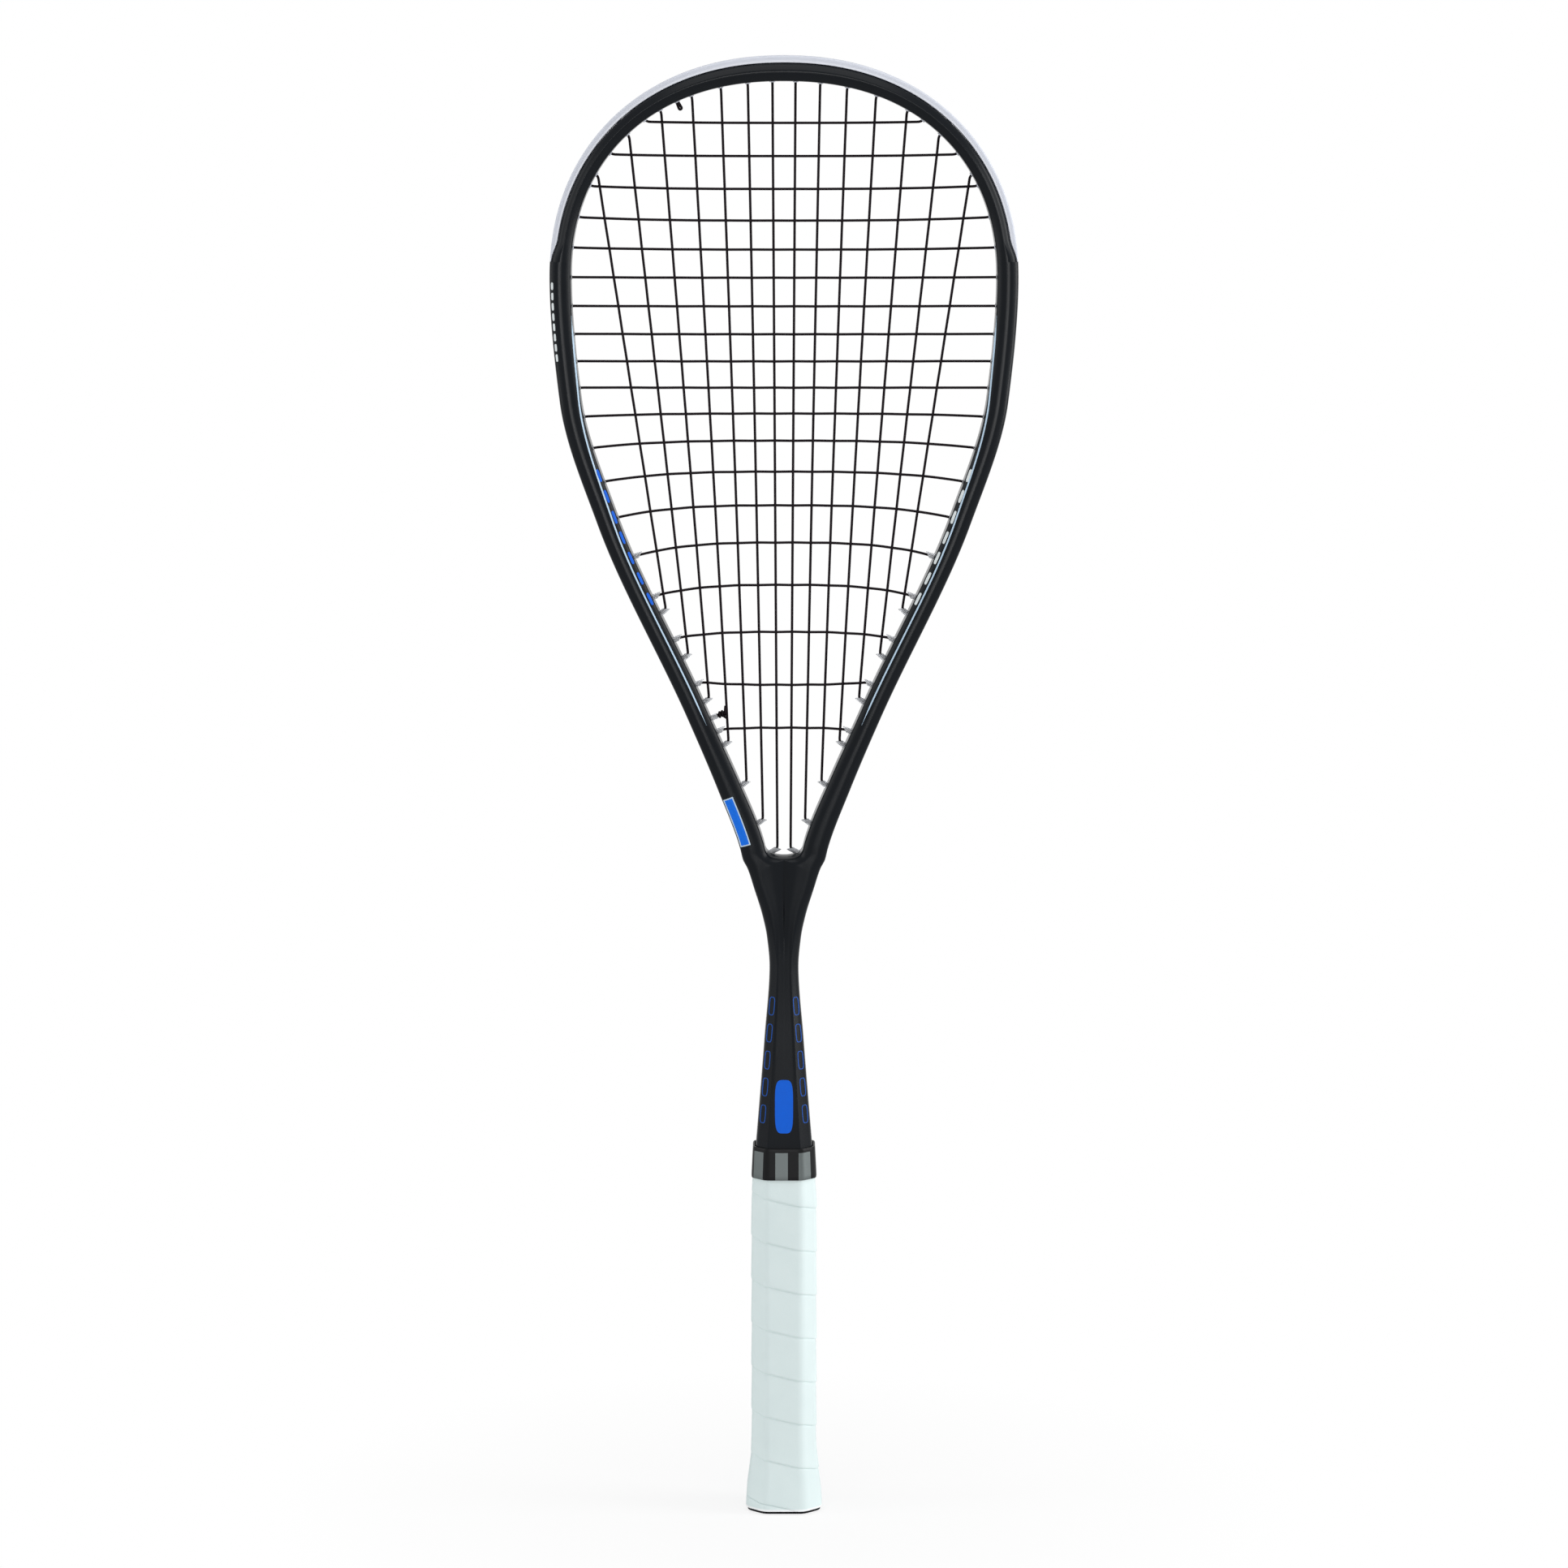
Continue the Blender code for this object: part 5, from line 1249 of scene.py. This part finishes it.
grip_rings = int(((GRIP_TOP - GRIP_BOTTOM) / GRIP_PITCH + GRIP_RUN_OUT) * GRIP_PER_TURN)
grip_turns = np.arange(grip_rings) / GRIP_PER_TURN
grip_low = np.maximum(GRIP_BOTTOM, GRIP_BOTTOM + (grip_turns - 1) * GRIP_PITCH)[:, None]
grip_high = np.minimum(GRIP_TOP, GRIP_BOTTOM + grip_turns * GRIP_PITCH)[:, None]
grip_height = grip_low + (grip_high - grip_low) * grip_across
from_low = grip_height - grip_low
from_high = grip_high - grip_height
low_round = GRIP_EDGE * (1 - np.sqrt(1 - np.clip(1 - from_low / GRIP_EDGE, 0.0, 1.0) ** 2))
tuck = GRIP_TUCK * np.clip(from_low / GRIP_PITCH, 0.0, 1.0)
tuck += HIGH_EDGE_DIP * (1 - ease(from_high / HIGH_EDGE_WIDTH))
thickness = grip_thickness(grip_height)
low_edge = np.minimum(LOW_EDGE_ROUND * low_round, LOW_EDGE_MOST)
grip_outset = GAP + thickness - low_edge - tuck * thickness / GRIP_THICKNESS
grip_share = (GRIP_FRONT_TURN - grip_turns)[:, None]
grip_upper = on_handle(grip_share, grip_height, flare(grip_height) + grip_outset)
inside_height = np.concatenate((grip_high, grip_low), axis=1)
grip_under = on_handle(grip_share, inside_height, flare(inside_height) + GRIP_UNDER)
grip_rows = np.concatenate((grip_upper, grip_under), axis=1)
grip = add_piece("grip_wound", *gather([(grip_rows, tube_faces(*grip_rows.shape[:2]))]), sharp=0.9)
white_leather, shader = new_finish("white_grained_leather", (0.69, 0.79, 0.79), 0.62, 0.35)
place = object_place(white_leather)
grain = add_node(white_leather, "ShaderNodeTexVoronoi", scale=1500.0)
broad = add_node(white_leather, "ShaderNodeTexNoise", scale=90.0, detail=4.0)
spread = add_node(white_leather, "ShaderNodeMapRange", to_min=0.54, to_max=0.72)
pores = add_node(white_leather, "ShaderNodeBump", strength=0.12, distance=0.00012)
creases = add_node(white_leather, "ShaderNodeBump", strength=0.25, distance=0.0004)
join(white_leather, (place, grain.inputs["Vector"]), (place, broad.inputs["Vector"]),
     (broad.outputs["Fac"], spread.inputs["Value"]), (spread.outputs["Result"], shader.inputs["Roughness"]),
     (broad.outputs["Fac"], creases.inputs["Height"]), (grain.outputs["Distance"], pores.inputs["Height"]),
     (creases.outputs["Normal"], pores.inputs["Normal"]), (pores.outputs["Normal"], shader.inputs["Normal"]))
blend_colours(white_leather, shader, broad.outputs["Fac"], (0.66, 0.765, 0.765), (0.72, 0.815, 0.815))
leather_tone = shader.inputs["Base Color"].links[0].from_socket
# The lowest few millimetres of the grip blend to near white: a painted highlight that stands in for the
# white floor's light on the rolled edge.
height = add_node(white_leather, "ShaderNodeSeparateXYZ")
butt_highlight_amount = add_node(white_leather, "ShaderNodeMapRange", from_min=BUTT_HIGHLIGHT_TOP, from_max=BUTT_HIGHLIGHT_LOW)
painted_butt_highlight = add_node(white_leather, "ShaderNodeMix", data_type="RGBA")
painted_butt_highlight.inputs[7].default_value = (0.94, 0.96, 0.97, 1.0)
join(white_leather, (place, height.inputs[0]), (height.outputs["Z"], butt_highlight_amount.inputs["Value"]),
     (butt_highlight_amount.outputs["Result"], painted_butt_highlight.inputs[0]), (leather_tone, painted_butt_highlight.inputs[6]),
     (painted_butt_highlight.outputs[2], shader.inputs["Base Color"]))
grip.data.materials.append(white_leather)
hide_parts("grip_wrap")

# Finishing tape: a band of black plastic tape printed with silver blocks, stretched over the grip's
# thin end and the foot of the shaft.
TAPE_BOTTOM = 0.1615
TAPE_TOP = 0.1765
TAPE_SILVER_TOP = 0.1746
TAPE_THICKNESS = 0.00035
TAPE_TOP_OUTSET = 0.0007
TAPE_TUCK = 0.0002
TAPE_BLOCKS = 8
TAPE_BLOCK_SHARE = 0.54
TAPE_FIRST_BLOCK = -0.0041
TAPE_STEPS = 7
TAPE_SILVER_ROWS = 14
TAPE_BLACK_ROWS = 4
TAPE_EDGE_ROUND = 0.00018
TAPE_EDGE_WIDTH = 0.0006
block_steps = np.concatenate((np.linspace(0.0, TAPE_BLOCK_SHARE, TAPE_STEPS)[:-1],
                              np.linspace(TAPE_BLOCK_SHARE, 1.0, TAPE_STEPS)[:-1]))
tape_share = (np.arange(TAPE_BLOCKS)[:, None] + block_steps).ravel() / TAPE_BLOCKS
tape_share += TAPE_FIRST_BLOCK / handle_round
silver_heights = np.linspace(TAPE_BOTTOM, TAPE_SILVER_TOP, TAPE_SILVER_ROWS)
black_heights = np.linspace(TAPE_SILVER_TOP, TAPE_TOP, TAPE_BLACK_ROWS)[1:]
tape_heights = np.concatenate((silver_heights, black_heights))
tape_outsets = (2 * GAP + grip_thickness(TAPE_BOTTOM), TAPE_TOP_OUTSET)
tape_under = np.interp(tape_heights, (TAPE_BOTTOM, TAPE_TOP), tape_outsets)
from_edge = np.minimum(tape_heights - TAPE_BOTTOM, TAPE_TOP - tape_heights)
edge_round = TAPE_EDGE_ROUND * (1 - ease(from_edge / TAPE_EDGE_WIDTH))
tape_over = (tape_under + TAPE_THICKNESS - edge_round)[:, None]
tape_outside = on_handle(tape_share, tape_heights[:, None], tape_over)
tape_under[-1] = TAPE_TUCK
tape_inside = on_handle(tape_share, tape_heights[::-1, None], tape_under[::-1, None])
tape_rows = np.concatenate((tape_outside, tape_inside, tape_outside[:1]))
tape_faces = grid_faces(*tape_rows.shape[:2], True)
tape = add_piece("finishing_tape_printed", tape_rows, tape_faces, sharp=0.8, merge=False)
black_film = clouded_finish("black_tape_film", ((0.006, 0.0063, 0.007), 0.35, 0.12),
                            (250.0, 0.28, 0.45, 0.08, 0.00005),
                            ((0.0045, 0.0048, 0.0055), (0.0075, 0.0078, 0.0085)))
silver_print = clouded_finish("silver_tape_print", ((0.12, 0.136, 0.136), 0.44, 0.5),
                              (250.0, 0.38, 0.52, 0.08, 0.00005),
                              ((0.108, 0.124, 0.124), (0.136, 0.152, 0.152)), (("Metallic", 1.0),))
tape.data.materials.append(black_film)
tape.data.materials.append(silver_print)
tape_row, tape_column = np.divmod(np.arange(len(tape_faces)), len(tape_share))
is_silver = (tape_column % (2 * TAPE_STEPS - 2) < TAPE_STEPS - 1) & (tape_row < TAPE_SILVER_ROWS - 1)
tape.data.polygons.foreach_set("material_index", is_silver.astype(int))
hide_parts("finishing_tape")

# Floor: a wide white sheet under the racket, with soft boxes left, right, in front and above, and a
# pale sky. The sheet fades to plain white away from the racket, and keeps its shadow close to it.
FLOOR_HALF = 6.0
FLOOR_DROP = 0.0004
FADE_START = 0.02
FADE_END = 0.25
FADE_LEAST = 0.8
SKY_LIGHT = 0.46
floor_corners = np.array(((-1.0, -1.0), (1.0, -1.0), (1.0, 1.0), (-1.0, 1.0))) * FLOOR_HALF
floor_points = np.column_stack((floor_corners, np.full(4, -FLOOR_DROP)))
floor_mesh = bpy.data.meshes.new("floor")
floor_mesh.from_pydata(floor_points.tolist(), [], [(0, 1, 2, 3)])
floor = bpy.data.objects.new("floor", floor_mesh)
bpy.context.collection.objects.link(floor)


def background_rays(owner):
    """An output that is 1 for rays from the camera, from gloss or through clear pieces."""
    rays = add_node(owner, "ShaderNodeLightPath")
    total = rays.outputs["Is Camera Ray"]
    for name in ("Is Glossy Ray", "Is Transmission Ray"):
        either = add_node(owner, "ShaderNodeMath", operation="MAXIMUM")
        join(owner, (total, either.inputs[0]), (rays.outputs[name], either.inputs[1]))
        total = either.outputs[0]
    return total


paper, shader = new_finish("white_paper", (0.9, 0.9, 0.9), 0.9, 0.1)
seen = background_rays(paper)
distance = add_node(paper, "ShaderNodeVectorMath", operation="LENGTH")
fade = add_node(paper, "ShaderNodeMapRange", from_min=FADE_START, from_max=FADE_END,
                to_min=FADE_LEAST, to_max=1.0)
plain = add_node(paper, "ShaderNodeMath", operation="MULTIPLY")
white = add_node(paper, "ShaderNodeEmission", color=(1.0, 1.0, 1.0, 1.0), strength=1.0)
mix = add_node(paper, "ShaderNodeMixShader")
surface = paper.node_tree.nodes["Material Output"].inputs["Surface"]
join(paper, (object_place(paper), distance.inputs[0]), (distance.outputs["Value"], fade.inputs["Value"]),
     (fade.outputs["Result"], plain.inputs[0]), (seen, plain.inputs[1]), (plain.outputs[0], mix.inputs[0]),
     (shader.outputs[0], mix.inputs[1]), (white.outputs[0], mix.inputs[2]), (mix.outputs[0], surface))
floor_mesh.materials.append(paper)


def soft_box(name, place, aim, width, height, watts):
    """A rectangular lamp that faces a point."""
    lamp = bpy.data.lights.new(name, "AREA")
    lamp.shape = "RECTANGLE"
    lamp.size = width
    lamp.size_y = height
    lamp.energy = watts
    made = bpy.data.objects.new(name, lamp)
    made.location = place
    towards = np.array(aim) - np.array(place)
    flat = np.hypot(towards[0], towards[1])
    made.rotation_euler = (np.arctan2(flat, -towards[2]), 0.0, np.arctan2(-towards[0], towards[1]))
    bpy.context.collection.objects.link(made)


soft_box("right_soft_box", (1.6, -0.28, 0.75), (0.0, 0.0, 0.35), 0.6, 1.4, 18.0)
soft_box("left_soft_box", (-1.57, -0.33, 0.8), (0.0, 0.0, 0.35), 0.6, 1.4, 6.5)
soft_box("front_soft_box", (0.0, -2.7, 0.40), (0.0, 0.0, 0.40), 0.5, 0.5, 9.0)
soft_box("top_soft_box", (0.0, -0.5, 2.0), (0.0, 0.0, 0.35), 1.4, 1.0, 8.0)
world = bpy.data.worlds.new("studio")
world.use_nodes = True
sky = world.node_tree.nodes["Background"]
sky.inputs["Color"].default_value = (1.0, 1.0, 1.0, 1.0)
level = add_node(world, "ShaderNodeMapRange", to_min=SKY_LIGHT)
seen = background_rays(world)
join(world, (seen, level.inputs["Value"]), (level.outputs["Result"], sky.inputs["Strength"]))
bpy.context.scene.world = world
bpy.context.scene.view_settings.view_transform = "Standard"
